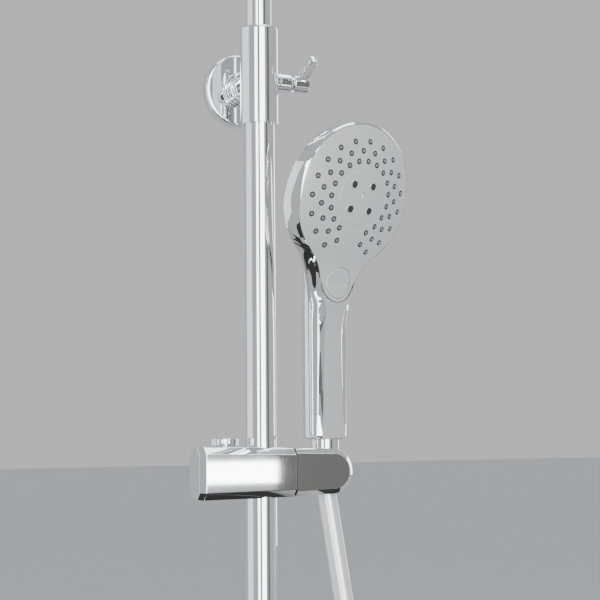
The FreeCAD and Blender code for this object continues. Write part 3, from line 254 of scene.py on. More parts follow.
def turned(points, base, along, sides=96):
    """A profile of radius and height in millimetres, turned about an axis through the base:
    each point goes round in a circle of its radius at its height along the axis."""
    profile = eased(points) * 0.001
    along = np.array(along, float)
    side = np.cross(along, (0.31, 0.52, 0.79))
    side /= np.linalg.norm(side)
    up = np.cross(along, side)
    a = np.linspace(0, 2 * np.pi, sides, endpoint=False)
    circle = np.cos(a)[:, None] * side + np.sin(a)[:, None] * up
    grid = (
        np.array(base, float)
        + profile[:, 1, None, None] * along
        + profile[:, 0, None, None] * circle
    )
    return grid, False, True


chrome = finish_of(
    "polished_chrome", (0.85, 0.855, 0.865), (0.81, 0.815, 0.83), 1.0, 0.035, 0.015, 38, 0.000003
)
UP, DOWN, RIGHT, LEFT = (0, 0, 1), (0, 0, -1), (1, 0, 0), (-1, 0, 0)
ROOM, WALL = (0, -1, 0), (0, 1, 0)
riser_low, riser_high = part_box("riser_tube")
axis_y = (riser_low.y + riser_high.y) / 2
riser_length = (riser_high.z - riser_low.z) * 1000
piece_of(
    "riser", "column", chrome,
    [turned(
        [(10.5, 0), (12, 0, 0.3), (12, riser_length, 0.3), (10.5, riser_length, 0.3),
         (10.5, 0, 0)],
        (0, axis_y, riser_low.z), UP, 128,
    )],
    ["riser_tube"],
)


def arc_line(centre, radius, first, last, steps):
    """Points on an arc in the plane of the pipe, from one angle to another above +Y."""
    a = np.radians(np.linspace(first, last, steps))
    y, z = centre
    return np.stack([0 * a, y + radius * np.cos(a), z + radius * np.sin(a)], 1)


pipe_low, pipe_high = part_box("overhead_pipe")
long_bend, fall_bend, straight_drop = 0.060, 0.045, 0.060
pipe_radius = (pipe_high.x - pipe_low.x) / 2
top_z = pipe_high.z - pipe_radius
fall_y = pipe_low.y + pipe_radius
pipe_line = np.concatenate([
    np.linspace((0, axis_y, pipe_low.z), (0, axis_y, top_z - long_bend - 0.0005), 12),
    arc_line((axis_y - long_bend, top_z - long_bend), long_bend, 0, 90, 28),
    np.linspace(
        (0, axis_y - long_bend - 0.0005, top_z), (0, fall_y + fall_bend + 0.0005, top_z), 8
    ),
    arc_line((fall_y + fall_bend, top_z - fall_bend), fall_bend, 90, 180, 24),
    np.linspace(
        (0, fall_y, top_z - fall_bend - 0.0005), (0, fall_y, top_z - straight_drop), 4
    ),
])
piece_of(
    "overhead_tube", "overhead_arm", chrome,
    [pipe(pipe_line, pipe_radius, 72, (1, 0, 0))], ["overhead_pipe"],
)

# --- Bracket: a chromed sleeve round the tubes, an arm with a stepped collar, and a pressed
# flange over the screwed wall plate.
piece_of(
    "sleeve", "column", chrome,
    [turned(
        [(12.05, 0), (15, 0, 0.35), (15, 77, 3.0), (10.35, 77, 0.5),
         (10.35, 74, 0.3), (12.05, 74, 0.2), (12.05, 0, 0)],
        (0, axis_y, -0.036), UP, 128,
    )],
    ["bracket_sleeve"],
)
piece_of(
    "arm", "column", chrome,
    [turned(
        [(0, 5), (12.4, 5, 0.2), (12.4, 19, 1.4), (9.5, 19, 0.5), (9.5, 36, 0.5), (0, 36)],
        (0, 0, 0), ROOM,
    )],
    ["bracket_arm"],
)
piece_of(
    "flange", "column", chrome,
    [turned(
        [(27.9, 0), (29.5, 0, 0.3), (29.5, 10, 2.0), (14.6, 10, 0.3), (14.2, 11.2, 0.4),
         (12.6, 11.2, 0.3), (12.6, 8.4, 0.3), (27.9, 8.4, 1), (27.9, 0)],
        (0, 0, 0), ROOM, 128,
    )],
    ["wall_flange"],
)


# --- Height lock: a boss screwed into the sleeve, and a cap with a lever that clamps the
# overhead pipe. The lever is a flat stud with a slot pressed in both its faces.
def stadium(start, end, radius, count=64):
    """A closed line round two half circles whose centres are start and end."""
    start, end = np.array(start, float), np.array(end, float)
    way = (end - start) / np.linalg.norm(end - start)
    square = np.array((-way[1], way[0]))
    a = np.linspace(-np.pi / 2, 3 * np.pi / 2, count, endpoint=False)
    centre = np.where((np.cos(a) >= 0)[:, None], end, start)
    return centre + radius * (np.cos(a)[:, None] * way + np.sin(a)[:, None] * square)


def layers(outlines, place):
    """Closed outlines stacked on each other, each given as its points and its height; the
    first and the last close on their own middles."""
    stack = [np.column_stack([o, np.full(len(o), h)]) for o, h in outlines]
    middle = lambda s: np.repeat(s.mean(0)[None], len(s), 0)
    stack = np.stack([middle(stack[0]), *stack, middle(stack[-1])])
    return place(stack), False, True


piece_of(
    "lock_boss_turned", "column", chrome,
    [turned(
        [(3.1, 12), (7.4, 12, 0.3), (7.4, 15.4, 0.2), (7.7, 16, 0.3), (7.7, 25.5, 1.3),
         (5.6, 25.5, 0.3), (3.1, 25.5, 0.2), (3.1, 12)],
        (0, axis_y, 0), RIGHT,
    )],
    ["lock_boss"],
)
lever_rise = math.radians(26)


def lever_place(points):
    """Across the lever is along the lock, and along it is to the room and upwards."""
    x, reach, lift = (points[..., k] * 0.001 for k in range(3))
    y = axis_y - reach * math.cos(lever_rise) - lift * math.sin(lever_rise)
    z = reach * math.sin(lever_rise) - lift * math.cos(lever_rise)
    return np.stack([0.0345 + x, y, z], -1)


def lever_outline(radius, low=2.0, high=27.5):
    return stadium((0, low), (0, high), radius)


pressed_slot = [(2.35, 3.1, 6.0, 27.2), (2.1, 2.9, 6.0, 27.2), (1.7, 1.9, 6.0, 27.2)]
lever_stack = [
    (lever_outline(r, low, high), -h) for r, h, low, high in reversed(pressed_slot)
] + [
    (lever_outline(3.2), -3.2), (lever_outline(3.6), -2.9), (lever_outline(3.7), -2.4),
    (lever_outline(3.7), 2.4), (lever_outline(3.6), 2.9), (lever_outline(3.2), 3.2),
] + [(lever_outline(r, low, high), h) for r, h, low, high in pressed_slot]
piece_of(
    "lever", "height_lock", chrome,
    [
        layers(lever_stack, lever_place),
        turned(
            [(0, 25.9), (5.9, 25.9, 0.2), (5.9, 27.6, 0.2), (7.7, 28.4, 0.6),
             (7.7, 41, 1.2), (0, 41)],
            (0, axis_y, 0), RIGHT,
        ),
    ],
    ["lock_lever"],
)


# --- Rain head: a ball joint under the pipe's end, and a flat chromed drum 220 mm across with
# a satin face and rings of soft silicone nozzles.
satin = finish_of(
    "satin_face", (0.60, 0.60, 0.605), (0.575, 0.575, 0.58), 0.35, 0.40, 0.03, 60, 0.00002
)
silicone = finish_of(
    "grey_silicone", (0.19, 0.195, 0.20), (0.16, 0.165, 0.17), 0.0, 0.55, 0.06, 300, 0.00002
)
# Black rubber for the seals and the button sleeve; the nozzle discs and the jet discs use the same
# finish as painted shade.
rubber_and_painted_shade = finish_of(
    "black_rubber", (0.022, 0.022, 0.024), (0.014, 0.014, 0.016), 0.0, 0.6, 0.08, 200, 0.00002
)
head_low, head_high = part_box("rain_shell")
head_y = (head_low.y + head_high.y) / 2
pipe_end = top_z - straight_drop
piece_of(
    "swivel_neck", "overhead_arm", chrome,
    [turned(
        [(0, 0), (8.9, 0, 0.4), (11.5, 2, 0.6), (11.5, 8, 0.6), (10.1, 8, 0.2), (0, 8)],
        (0, head_y, pipe_end - 0.008), UP,
    ), turned(
        [(0, 0), (5.5, 0, 0.2), (5.5, 22), (0, 22)], (0, head_y, pipe_end - 0.027), UP, 64,
    )],
    ["swivel_ball"],
)
nut_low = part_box("swivel_nut")[0]
piece_of(
    "swivel_nut_turned", "rain_head", chrome,
    [turned(
        [(0, 0), (16, 0, 0.6), (16, 6, 0.3), (15.3, 6.4, 0.3), (15.3, 8, 0.3), (16, 8.4, 0.3),
         (16, 20, 1.0), (13, 23, 0.6), (9, 21, 0.5), (8, 16, 0.3), (0, 16)],
        (0, head_y, nut_low.z), UP,
    )],
    ["swivel_nut"],
)
piece_of(
    "rain_drum", "rain_head", chrome,
    [turned(
        [(108.5, 0, 0), (110, 0, 0.7), (110, 8, 2.2), (102, 11, 6), (22, 14, 6), (0, 14),
         (0, 12.5), (22, 12.5), (102, 9.5), (108.5, 6.5), (108.5, 0)],
        (0, head_y, head_low.z), UP, 160,
    )],
    ["rain_shell"],
)
piece_of(
    "rain_plate", "rain_head", satin,
    [turned(
        [(0, 2), (108.4, 2), (108.4, 0.1, 0.4), (104.5, 0.1, 0.2), (104, 0.7, 0.2),
         (103, 0.7, 0.2), (102.5, 0.1, 0.2), (0, 0.1)],
        (0, head_y, head_low.z), UP, 160,
    )],
    ["rain_face"],
)


def studs(profile, centres, normals, sides):
    """One turned profile, repeated: each stands at its own centre along its own normal."""
    profile = np.array(profile) * 0.001
    n = normals / np.linalg.norm(normals, axis=1)[:, None]
    side = np.cross(n, (0.6, 0.2, 0.77))
    side /= np.linalg.norm(side, axis=1)[:, None]
    up = np.cross(n, side)
    a = np.linspace(0, 2 * np.pi, sides, endpoint=False)
    circle = (
        np.cos(a)[None, :, None] * side[:, None] + np.sin(a)[None, :, None] * up[:, None]
    )
    grid = (
        centres[:, None, None]
        + profile[None, :, 1, None, None] * n[:, None, None]
        + profile[None, :, 0, None, None] * circle[:, None]
    )
    return [(g, False, True) for g in grid]


ring_step = 0.0165
rain_places = np.array([
    (k * ring_step * math.cos(2 * math.pi * j / (6 * k)),
     head_y + k * ring_step * math.sin(2 * math.pi * j / (6 * k)), head_low.z + 0.0001)
    for k in range(1, 7) for j in range(6 * k)
])
piece_of(
    "rain_nubs", "rain_head", silicone,
    studs(
        [(0, -0.5), (2.0, -0.4), (2.0, 0.3), (1.5, 0.6), (1.15, 2.0), (0.9, 2.2), (0.4, 2.15),
         (0.35, 1.2), (0, 1.2)],
        rain_places, np.tile((0.0, 0.0, -1.0), (len(rain_places), 1)), 14,
    ),
    ["rain_nozzles"], 50,
)

# --- Slider: a cast and polished bar across the riser, with wide bevels, a grip bush inside
# and a scalloped button on top that releases it.
slider_z = next(
    j["pos_m"][2] for j in frame["record"]["behaviour"]["joints"] if j["name"] == "holder_tilt"
)


def softened(corners, rounding, steps=3):
    """A closed outline with each corner replaced by a short arc tangent to its two sides."""
    corners = np.array(corners, float)
    before, after = np.roll(corners, 1, 0) - corners, np.roll(corners, -1, 0) - corners
    before /= np.linalg.norm(before, axis=1)[:, None]
    after /= np.linalg.norm(after, axis=1)[:, None]
    t = np.linspace(0, 1, steps)[None, :, None]
    start, end = (corners + rounding * w for w in (before, after))
    arc = (1 - t) ** 2 * start[:, None] + 2 * t * (1 - t) * corners[:, None]
    return (arc + t**2 * end[:, None]).reshape(-1, 2)


def bar_outline(half, front, back, bevel, back_bevel, rounding=0.45):
    corners = [
        (-front, -half + bevel), (-front, half - bevel), (-front + bevel, half),
        (back - back_bevel, half), (back, half - back_bevel), (back, -half + back_bevel),
        (back - back_bevel, -half), (-front + bevel, -half),
    ]
    return softened(corners, rounding)


def along_bar(points):
    """Outline points are depth and height; their place in the stack is along the bar."""
    depth, height, x = (points[..., k] * 0.001 for k in range(3))
    return np.stack([x, axis_y + depth, slider_z + height], -1)


def flat_shading(piece):
    """Leaves flat faces flat and puts the turn of the light into the rounded edges."""
    weigh = piece.modifiers.new("flat_faces", "WEIGHTED_NORMAL")
    weigh.keep_sharp = True
    return piece


bar = [
    (bar_outline(19.0, 12.5, 7.7, 5.6, 6.8), -55.2),
    (bar_outline(19.35, 12.8, 8.0, 5.7, 7.0), -55.05),
    (bar_outline(19.5, 13.0, 8.3, 5.7, 7.0), -54.8),
    (bar_outline(19.95, 16.7, 13.7, 5.8, 6.0), -51.5),
    (bar_outline(20.0, 16.93, 13.95, 5.8, 5.9), -51.2),
    (bar_outline(19.98, 17.0, 14.2, 5.8, 5.8), -50.8),
    (bar_outline(19.85, 17.0, 17.0, 5.8, 5.8), -43.0),
    (bar_outline(18.92, 17.0, 17.0, 5.8, 5.8), 21.5),
    (bar_outline(18.8, 16.88, 16.88, 5.8, 5.8), 21.9),
    (bar_outline(18.45, 16.5, 16.5, 5.7, 5.7), 22.1),
]
slider_piece = piece_of(
    "slider_bar", "slider", chrome, [layers(bar, along_bar)], ["slider_body"], 50
)


def carved(piece, tools):
    """Takes other closed meshes out of a piece, with an exact cut, and removes them."""
    for tool in tools:
        cut = piece.modifiers.new("cut", "BOOLEAN")
        cut.operation, cut.solver, cut.object = "DIFFERENCE", "EXACT", tool
    bpy.context.view_layer.update()
    shown = piece.evaluated_get(bpy.context.evaluated_depsgraph_get())
    mesh = bpy.data.meshes.new_from_object(shown)
    piece.modifiers.clear()
    name = piece.data.name
    piece.data = mesh
    mesh.name = name
    for tool in tools:
        bpy.data.objects.remove(tool)
    mesh.shade_smooth()
    mesh.set_sharp_from_angle(angle=math.radians(32))
    return piece


def drill(points, base, along, sides=96):
    """A turned tool for carved()."""
    return piece_of("tool", None, chrome, [turned(points, base, along, sides)])


slider_top, button_x = slider_z + 0.020, -0.030
carved(slider_piece, [
    drill([(0, -30), (12.25, -30), (12.25, 30), (0, 30)], (0, axis_y, slider_z), UP),
    drill([(0, 0), (11.3, 0), (11.3, 9), (0, 9)], (button_x, axis_y, slider_top - 0.0033), UP),
])
flat_shading(slider_piece)

button_turn = np.linspace(0, 2 * np.pi, 144, endpoint=False)


def scalloped(radius, depth, count=12):
    """A circle with shallow hollows pressed in it all round."""
    r = radius - depth * (0.5 - 0.5 * np.cos(count * button_turn)) ** 2
    return np.column_stack([r * np.cos(button_turn), r * np.sin(button_turn)])


def on_button(points):
    x, y, z = (points[..., k] * 0.001 for k in range(3))
    return np.stack([x + button_x, y + axis_y, z + slider_top], -1)


piece_of(
    "release_cap", "release", chrome,
    [layers(
        [(scalloped(10.0, 0.0), 0.3), (scalloped(10.7, 0.15), 0.5), (scalloped(11.0, 0.5), 1.0),
         (scalloped(11.0, 0.5), 4.9), (scalloped(10.7, 0.3), 5.8), (scalloped(10.1, 0.1), 6.2),
         (scalloped(9.4, 0.0), 6.42), (scalloped(5.0, 0.0), 6.5)],
        on_button,
    ), turned([(0, 0), (5, 0, 0.3), (5, 20.2), (0, 20.2)], (button_x, axis_y, slider_top - 0.020),
              UP, 48)],
    ["release_button"], 40,
)
sleeve_low, sleeve_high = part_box("button_spring")
button_sleeve = piece_of(
    "button_sleeve", None, rubber_and_painted_shade,
    [turned(
        [(2.4, 0), (4.6, 0, 0.2), (4.6, 1.2, 0.4), (3.6, 2.2, 0.4), (4.6, 3.3, 0.4),
         (3.6, 4.3, 0.4), (4.6, 5.3, 0.4), (3.6, 6.4, 0.4), (4.6, 7.2, 0.3),
         (4.6, 7.9, 0.2), (2.4, 7.9), (2.4, 0)],
        (button_x, axis_y, sleeve_low.z), UP, 40,
    )],
)
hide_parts("button_spring")
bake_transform(button_sleeve)


# --- Holder: a cast and chromed block on the slider's pivot, with a half-round end and a
# tapered socket that takes the cone on the hose. Its bevel goes all round, front and back.
def round_end(inset, rounding=0.4):
    """Seen from the room: two nearly level sides from the seam to a half circle round the
    socket, each drawn in by the inset; the corners at the seam are slightly rounded."""
    start, end, seam, radius = 22.4, 54.0, 18.4, 17.5
    a = np.linspace(-np.pi / 2, np.pi / 2, 61)
    arc = np.column_stack([end + (radius - inset) * np.cos(a), (radius - inset) * np.sin(a)])
    t = np.linspace(0, 1, 5)[1:, None]
    left_top, left_low = np.array((start, seam - inset)), np.array((start, inset - seam))
    corner = [left_top + (rounding, 0), left_top + (0, -rounding)]
    corner += [left_low + (0, rounding), left_low + (rounding, 0)]
    upper = arc[-1] + (corner[0] - arc[-1]) * t
    lower = corner[3] + (arc[0] - corner[3]) * t[:-1]
    return np.concatenate([arc, upper, corner[1:3], corner[3:], lower])


def through_holder(points):
    """Outline points are across and up; their place in the stack is depth."""
    x, height, depth = (points[..., k] * 0.001 for k in range(3))
    return np.stack([x, axis_y + depth, slider_z + height], -1)


holder_stack = [(4.5, -17.0), (4.2, -17.0), (4.0, -16.9), (3.85, -16.75), (0.3, -13.1),
                (0.1, -12.85), (0.0, -12.5)]
holder_stack += [(inset, -depth) for inset, depth in reversed(holder_stack)]
holder_piece = piece_of(
    "holder_block", "hand_holder", chrome,
    [layers([(round_end(i), d) for i, d in holder_stack], through_holder)], ["holder"], 50,
)
socket_low, socket_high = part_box("hose_cone")
socket_x = (socket_low.x + socket_high.x) / 2
carved(holder_piece, [
    drill([(0, -40), (8.9, -40), (12.1, 40), (0, 40)], (socket_x, axis_y, slider_z), UP, 128),
])
flat_shading(holder_piece)
piece_of(
    "cone_nut", "cone", chrome,
    [turned(
        [(7.6, -2), (10.3, -2, 0.5), (11.3, 21, 0.5), (11.3, 24.5, 0.3), (8.5, 24.5, 0),
         (8.5, 12), (7.6, 4), (7.6, -2)],
        (socket_x, axis_y, slider_z), UP,
    )],
    ["hose_cone"],
)


# --- Hand shower's shell: moulded plastic, chromed, with a lip that frames the spray plate
# and the handle's panel. Its sections run from the middle of the front round to the back.
hand_swing, face_tilt = math.radians(15.3), math.radians(17.5)
dome_f, dome_a, dome_radius = -123.38, 259.88, 177.5
face_f, face_a, plate_a = 45.9, 206.5, 209.0


def hand(s, f, a):
    """Across, to the front and up from the socket, in millimetres, to the shared frame."""
    s, f, a = np.broadcast_arrays(s, f, a)
    x = socket_x + (s * math.cos(hand_swing) + f * math.sin(hand_swing)) * 0.001
    y = axis_y + (s * math.sin(hand_swing) - f * math.cos(hand_swing)) * 0.001
    return np.stack([x, y, slider_z + a * 0.001], -1)


def face_point(height, depth):
    """Front and up of a point given by its height on the tilted face and its depth."""
    f = face_f - depth * math.cos(face_tilt) + height * math.sin(face_tilt)
    return f, face_a + depth * math.sin(face_tilt) + height * math.cos(face_tilt)


def front_of(s, a):
    """The spray plate: a sphere over the head, then a hollow neck that flattens downwards."""
    s, a = np.broadcast_arrays(np.asarray(s, float), np.asarray(a, float))
    rise = np.maximum(a, 161.0) - dome_a
    middle = np.sqrt(dome_radius**2 - rise**2)
    drop = middle - np.sqrt(np.maximum(dome_radius**2 - rise**2 - s**2, 1.0))
    neck = np.interp(a, [130.3, 138, 146, 152.5, 157, 161], [16.6, 16.8, 17.6, 20.3, 22.1, 24.03])
    flat = np.interp(a, [130, 165], [0.35, 1.0])
    return np.where(a >= 161.0, dome_f + middle, neck) - drop * flat


def panel_front(s, a):
    """The handle panel: straight, then rising a little towards the neck; barely crowned."""
    along = np.interp(a, [24, 105, 112, 122, 130, 144], [10.8, 10.8, 11.6, 13.6, 15.8, 16.6])
    return along - 0.3 * (np.asarray(s) / 12.0) ** 2


edge_in = np.array([
    (0, 58.5), (14, 56.6), (27, 51.2), (38, 42.7), (46.5, 31.5), (51.8, 18.5), (53.5, 5),
    (53, -8), (51.3, -18), (47.3, -27), (40.6, -36), (33, -43), (26, -49.5), (21.6, -56),
    (18.8, -62.5), (16.6, -69), (15, -75.5),
])
edge_lip = np.array([
    (0, 59.6), (14.5, 57.7), (28, 52.1), (39.4, 43.3), (48.3, 31.6), (53.8, 18), (55.6, 4.5),
    (55, -9), (52.9, -18.7), (49, -27.6), (42.8, -36.3), (35.4, -43.5), (27.6, -51),
    (22.8, -57.5), (20.4, -63.5), (18.6, -69.5), (17.2, -75.5),
])
edge_back = np.array([
    (0, 57.8), (15, 55.8), (29, 50), (41, 41), (50, 29.5), (56, 15.5), (58.2, 1), (58, -11),
    (55.3, -20.5), (50.6, -29.2), (44.2, -38), (37, -45.5), (31.5, -52), (27.8, -58),
    (25.3, -63.5), (23.4, -69), (21.4, -74.5),
])
spine_height = np.array([0] * 8 + [-3, -8, -16, -26, -37, -48, -57, -65, -72.0])
spine_depth = np.array([30.5] * 9 + [30.4, 30.2, 30.2, 30.8, 31.8, 33, 34.2, 35.2])


def flowing(keys, count, mirror, knots=None):
    """A cubic spline through the keys, by distance along them. Keys mirrored past the first
    keep it smooth where both halves meet; each point then averages with its neighbours."""
    keys = np.asarray(keys, float)
    if knots is None:
        steps = np.linalg.norm(np.diff(keys, axis=0), axis=1)
        knots = np.concatenate([[0], np.cumsum(steps)])
    keys = np.concatenate([keys[2:0:-1] * mirror, keys])
    knots = np.concatenate([-knots[2:0:-1], knots])
    n, h = len(keys), np.diff(knots)
    system, pull = np.eye(n), np.zeros_like(keys)
    for i in range(1, n - 1):
        system[i, i - 1 : i + 2] = h[i - 1], 2 * (h[i - 1] + h[i]), h[i]
        pull[i] = 6 * ((keys[i + 1] - keys[i]) / h[i] - (keys[i] - keys[i - 1]) / h[i - 1])
    bend = np.linalg.solve(system, pull)
    u = np.linspace(0, knots[-1], count)
    k = np.clip(np.searchsorted(knots, u) - 1, 0, n - 2)
    left = ((knots[k + 1] - u) / h[k])[:, None]
    right, wide = 1 - left, h[k][:, None] ** 2 / 6
    line = left * keys[k] + right * keys[k + 1]
    line += ((left**3 - left) * bend[k] + (right**3 - right) * bend[k + 1]) * wide
    for _ in range(8):
        line[1:-1] = 0.25 * line[:-2] + 0.5 * line[1:-1] + 0.25 * line[2:]
    return line


in_a = face_point(edge_in[:, 1], 8.6)[1]
lip_f, lip_a = face_point(edge_lip[:, 1], np.interp(np.arange(17), [8, 16], [11.2, 12.5]))
back_f, back_a = face_point(edge_back[:, 1], 21.0)
spine_f, spine_a = face_point(spine_height, 21.0)
rear_f, rear_a = face_point(spine_height, spine_depth)
handle_in = [(11.6, 131), (9.6, 122), (9.0, 109), (9.4, 78), (10.4, 47), (11.6, 27.6)]
handle_lip = [(16.0, 12.4, 131), (14.9, 11.2, 122), (13.9, 10.4, 109), (14.2, 9.8, 78),
              (14.6, 9.2, 47), (15.1, 8.4, 27.6)]
handle_back = [(19.3, 1.5, 134), (18.0, 0.4, 124), (17.4, 0, 110), (17.3, 0, 78),
               (17.3, 0, 47), (17.3, 0, 27.6)]
handle_spine = [(1.5, 134), (0.4, 124), (0, 110), (0, 78), (0, 47), (0, 27.6)]
handle_rear = [(-13.5, 136), (-16.2, 125), (-17.2, 111), (-17.3, 78), (-17.3, 47),
               (-17.3, 27.6)]
station_count = 180
keys_in = np.array([*zip(edge_in[:, 0], in_a), *handle_in])
shared_knots = np.concatenate([[0], np.cumsum(np.linalg.norm(np.diff(keys_in, axis=0), axis=1))])
line_in = flowing(keys_in, station_count, (-1, 1), shared_knots)
line_lip = flowing(
    [*zip(edge_lip[:, 0], lip_f, lip_a), *handle_lip], station_count, (-1, 1, 1), shared_knots
)
line_back = flowing(
    [*zip(edge_back[:, 0], back_f, back_a), *handle_back], station_count, (-1, 1, 1),
    shared_knots,
)
even = np.linspace(0, shared_knots[-1], station_count)


def relaxed(keys, rounds=60):
    """Straight steps between the keys, averaged with their neighbours until they flow."""
    line = np.column_stack([np.interp(even, shared_knots, column) for column in zip(*keys)])
    for _ in range(rounds):
        line[1:-1] = 0.25 * line[:-2] + 0.5 * line[1:-1] + 0.25 * line[2:]
    return line


line_spine = relaxed([*zip(spine_f, spine_a), *handle_spine])
line_rear = relaxed([*zip(rear_f, rear_a), *handle_rear])
for line in (line_in, line_lip, line_back):
    line[0, 0] = 0.0


def plate_height(s, a):
    """The plate above its U-shaped end, the panel below it, and an even change between."""
    share = np.clip((a - 128.0) / 16.0, 0, 1)
    share = share**2 * (3 - 2 * share)
    return share * front_of(s, a) + (1 - share) * panel_front(s, a)


def half_sections():
    """Half of the shell: each row runs from the middle of the front, under the plate, up its
    edge, over the lip, round the side along a quarter of an ellipse, to the middle of the
    back."""
    rows = []
    head_way = np.linspace(0, 1, 12)[1:, None]
    round_way = np.linspace(0, np.pi / 2, 22)[1:, None]
    for k in range(station_count):
        s0, a0 = line_in[k]
        f0 = float(plate_height(s0, a0))
        lip, back = line_lip[k], line_back[k]
        spine = np.array((0.0, *line_spine[k]))
        rear = np.array((0.0, *line_rear[k]))
        floor = f0 - 6.0
        inner = np.array([
            (0, floor, max(min(a0, plate_a), 24.0)),
            (s0 * 0.5, floor, a0 * 0.5 + 0.5 * min(a0, plate_a)),
            (s0, floor, a0), (s0, f0 - 0.5, a0),
        ])
        top = np.array((s0, f0 + 0.05, a0))
        toward = lip - top
        edge = np.array([
            top - (0, 0.3, 0), top + 0.04 * toward, top + 0.3 * toward, top + 0.65 * toward,
            top + 0.93 * toward,
        ])
        edge[2:4, 1] += 0.12
        bow = np.array((
            back[0], back[1] + 0.62 * (lip[1] - back[1]), lip[2] * 0.5 + back[2] * 0.5
        ))
        side = (1 - head_way) ** 2 * lip + 2 * head_way * (1 - head_way) * bow
        side = side + head_way**2 * back
        round_back = spine + (back - spine) * np.cos(round_way)
        round_back = round_back + (rear - spine) * np.sin(round_way)
        rows.append(np.concatenate([inner, edge, [lip], side, round_back]))
    return np.stack(rows)


half = half_sections()
last = half[-1]
foot = []
for inset, a in ((0.25, 26.3), (0.9, 25.2), (1.9, 24.7), (3.0, 24.6)):
    ring = last.copy()
    reach = np.maximum(np.linalg.norm(ring[:, :2], axis=1), 1e-6)[:, None]
    ring[:, :2] *= 1 - inset / np.maximum(reach, 8.0)
    ring[:, 2] = a
    foot.append(ring)
aim = np.arctan2(last[:, 0], last[:, 1])[:, None]
for radius, a in ((8.0, 24.6), (8.0, 40.0), (0.0, 40.0)):
    height = np.full(len(last), a)
    foot.append(np.column_stack([radius * np.sin(aim), radius * np.cos(aim), height]))
half = np.concatenate([half, foot])
mirrored = half * (-1, 1, 1)
piece_of(
    "handset_body", "hand_shower", chrome,
    [(hand(*np.moveaxis(g, -1, 0)), False, False) for g in (half, mirrored)],
    ["handset_shell"], 62,
)


# --- Spray plate: a satin moulding, domed over the head and ending in a round tongue on the
# neck. A shallow disc stands proud in its middle, and the button's hole goes through it.
u_centre, u_radius = 145.5, 14.7
above = line_in[line_in[:, 1] > 144.5]
arc = np.radians(np.linspace(-8, -90, 22))
plate_edge = np.concatenate([
    above, np.column_stack([u_radius * np.cos(arc), u_centre + u_radius * np.sin(arc)])
])
plate_edge = flowing(plate_edge, 170, (-1, 1))
plate_edge[0, 0] = plate_edge[-1, 0] = 0.0


def drawn_in(line, inset):
    """Moves a line towards the side its normal points to, which is the plate's inside."""
    way = np.gradient(line, axis=0)
    way /= np.linalg.norm(way, axis=1)[:, None]
    way[0], way[-1] = (1, 0), (-1, 0)
    moved = line + inset * np.column_stack([way[:, 1], -way[:, 0]])
    moved[0, 0] = moved[-1, 0] = 0.0
    return moved


def disc_ring(radius):
    """A circle on the tilted face, at the angles of the plate's edge points."""
    turn = np.arctan2((plate_edge[:, 1] - plate_a) / math.cos(face_tilt), plate_edge[:, 0])
    rise = radius * np.sin(turn) * math.cos(face_tilt)
    ring = np.column_stack([radius * np.cos(turn), plate_a + rise])
    ring[0, 0] = ring[-1, 0] = 0.0
    return ring


plate_rows = [(disc_ring(r), lift) for r, lift in (
    (0.0, 0.0), (6.0, 0.0), (13.0, 0.0), (20.9, 0.0), (21.3, -0.04), (21.55, -0.3),
    (21.9, -0.34), (22.5, -0.34),
)]
start_ring, end_ring = disc_ring(22.5), drawn_in(plate_edge, 0.55)
for t in np.linspace(0, 1, 22)[1:]:
    ring = start_ring + (end_ring - start_ring) * t
    plate_rows.append((ring, -0.34 * max(0.0, 1 - 6 * t)))
plate_rows += [(drawn_in(plate_edge, inset), lift) for inset, lift in (
    (0.34, -0.04), (0.2, -0.17), (0.15, -0.35), (0.15, -3.0),
)]
plate_rows += [
    (start_ring + (end_ring - start_ring) * t, -3.0) for t in (1.0, 0.8, 0.6, 0.4, 0.2, 0.0)
]
plate_rows.append((disc_ring(0.0), -3.0))
plate_grid = np.stack([
    np.column_stack([ring[:, 0], front_of(ring[:, 0], ring[:, 1]) + lift, ring[:, 1]])
    for ring, lift in plate_rows
])
plate_slot = finish_of(
    "satin_face", (0.515, 0.515, 0.52), (0.495, 0.495, 0.50), 0.30, 0.36, 0.03, 60, 0.00001
)
plate = piece_of(
    "spray_plate", "hand_shower", plate_slot,
    [(hand(*np.moveaxis(g, -1, 0)), False, False) for g in (plate_grid, plate_grid * (-1, 1, 1))],
    ["handset_face"],
)
press = next(
    j for j in frame["record"]["behaviour"]["joints"] if j["name"] == "select_press"
)
button_front = -Vector(press["axis"]).normalized()
button_low, button_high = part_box("select_button")
button_base = (button_low + button_high) / 2
carved(plate, [drill([(0, -12), (12.35, -12), (12.35, 12), (0, 12)], button_base, button_front)])


# --- Handle panel and spray button: the panel is a satin strip clipped in under the plate's
# tongue; the button is a satin cap that follows the plate, in the hole with a thin gap round.
panel_low_a, panel_steps = 25.0, 40
across = np.linspace(0, 1, 24)
top_arc = np.radians(-8 - 82 * (1 - across))
top_s = (u_radius + 0.2) * np.cos(top_arc)
top_a = u_centre + (u_radius + 0.2) * np.sin(top_arc)
panel_rows = []
for v in np.linspace(0, 1, panel_steps):
    fall = top_a + (panel_low_a - top_a) * v**1.4
    width = float(np.interp(-fall[-1], -line_in[:, 1], line_in[:, 0])) - 0.15
    panel_rows.append(np.column_stack([top_s / top_s[-1] * width, fall]))
panel_rows = np.stack(panel_rows)
panel_top = np.dstack([
    panel_rows[..., 0], panel_front(panel_rows[..., 0], panel_rows[..., 1]), panel_rows[..., 1]
])
panel_back = panel_top - (0, 2.5, 0)
under = np.concatenate([panel_back[:, ::-1] * (-1, 1, 1), panel_back[:, 1:]], 1)
over = np.concatenate([panel_top[:, ::-1] * (-1, 1, 1), panel_top[:, 1:]], 1)
panel_ring = np.concatenate([over, under[:, ::-1]], 1)
handle_grey = finish_of(
    "satin_face", (0.475, 0.475, 0.48), (0.455, 0.455, 0.46), 0.35, 0.38, 0.03, 60, 0.00001
)
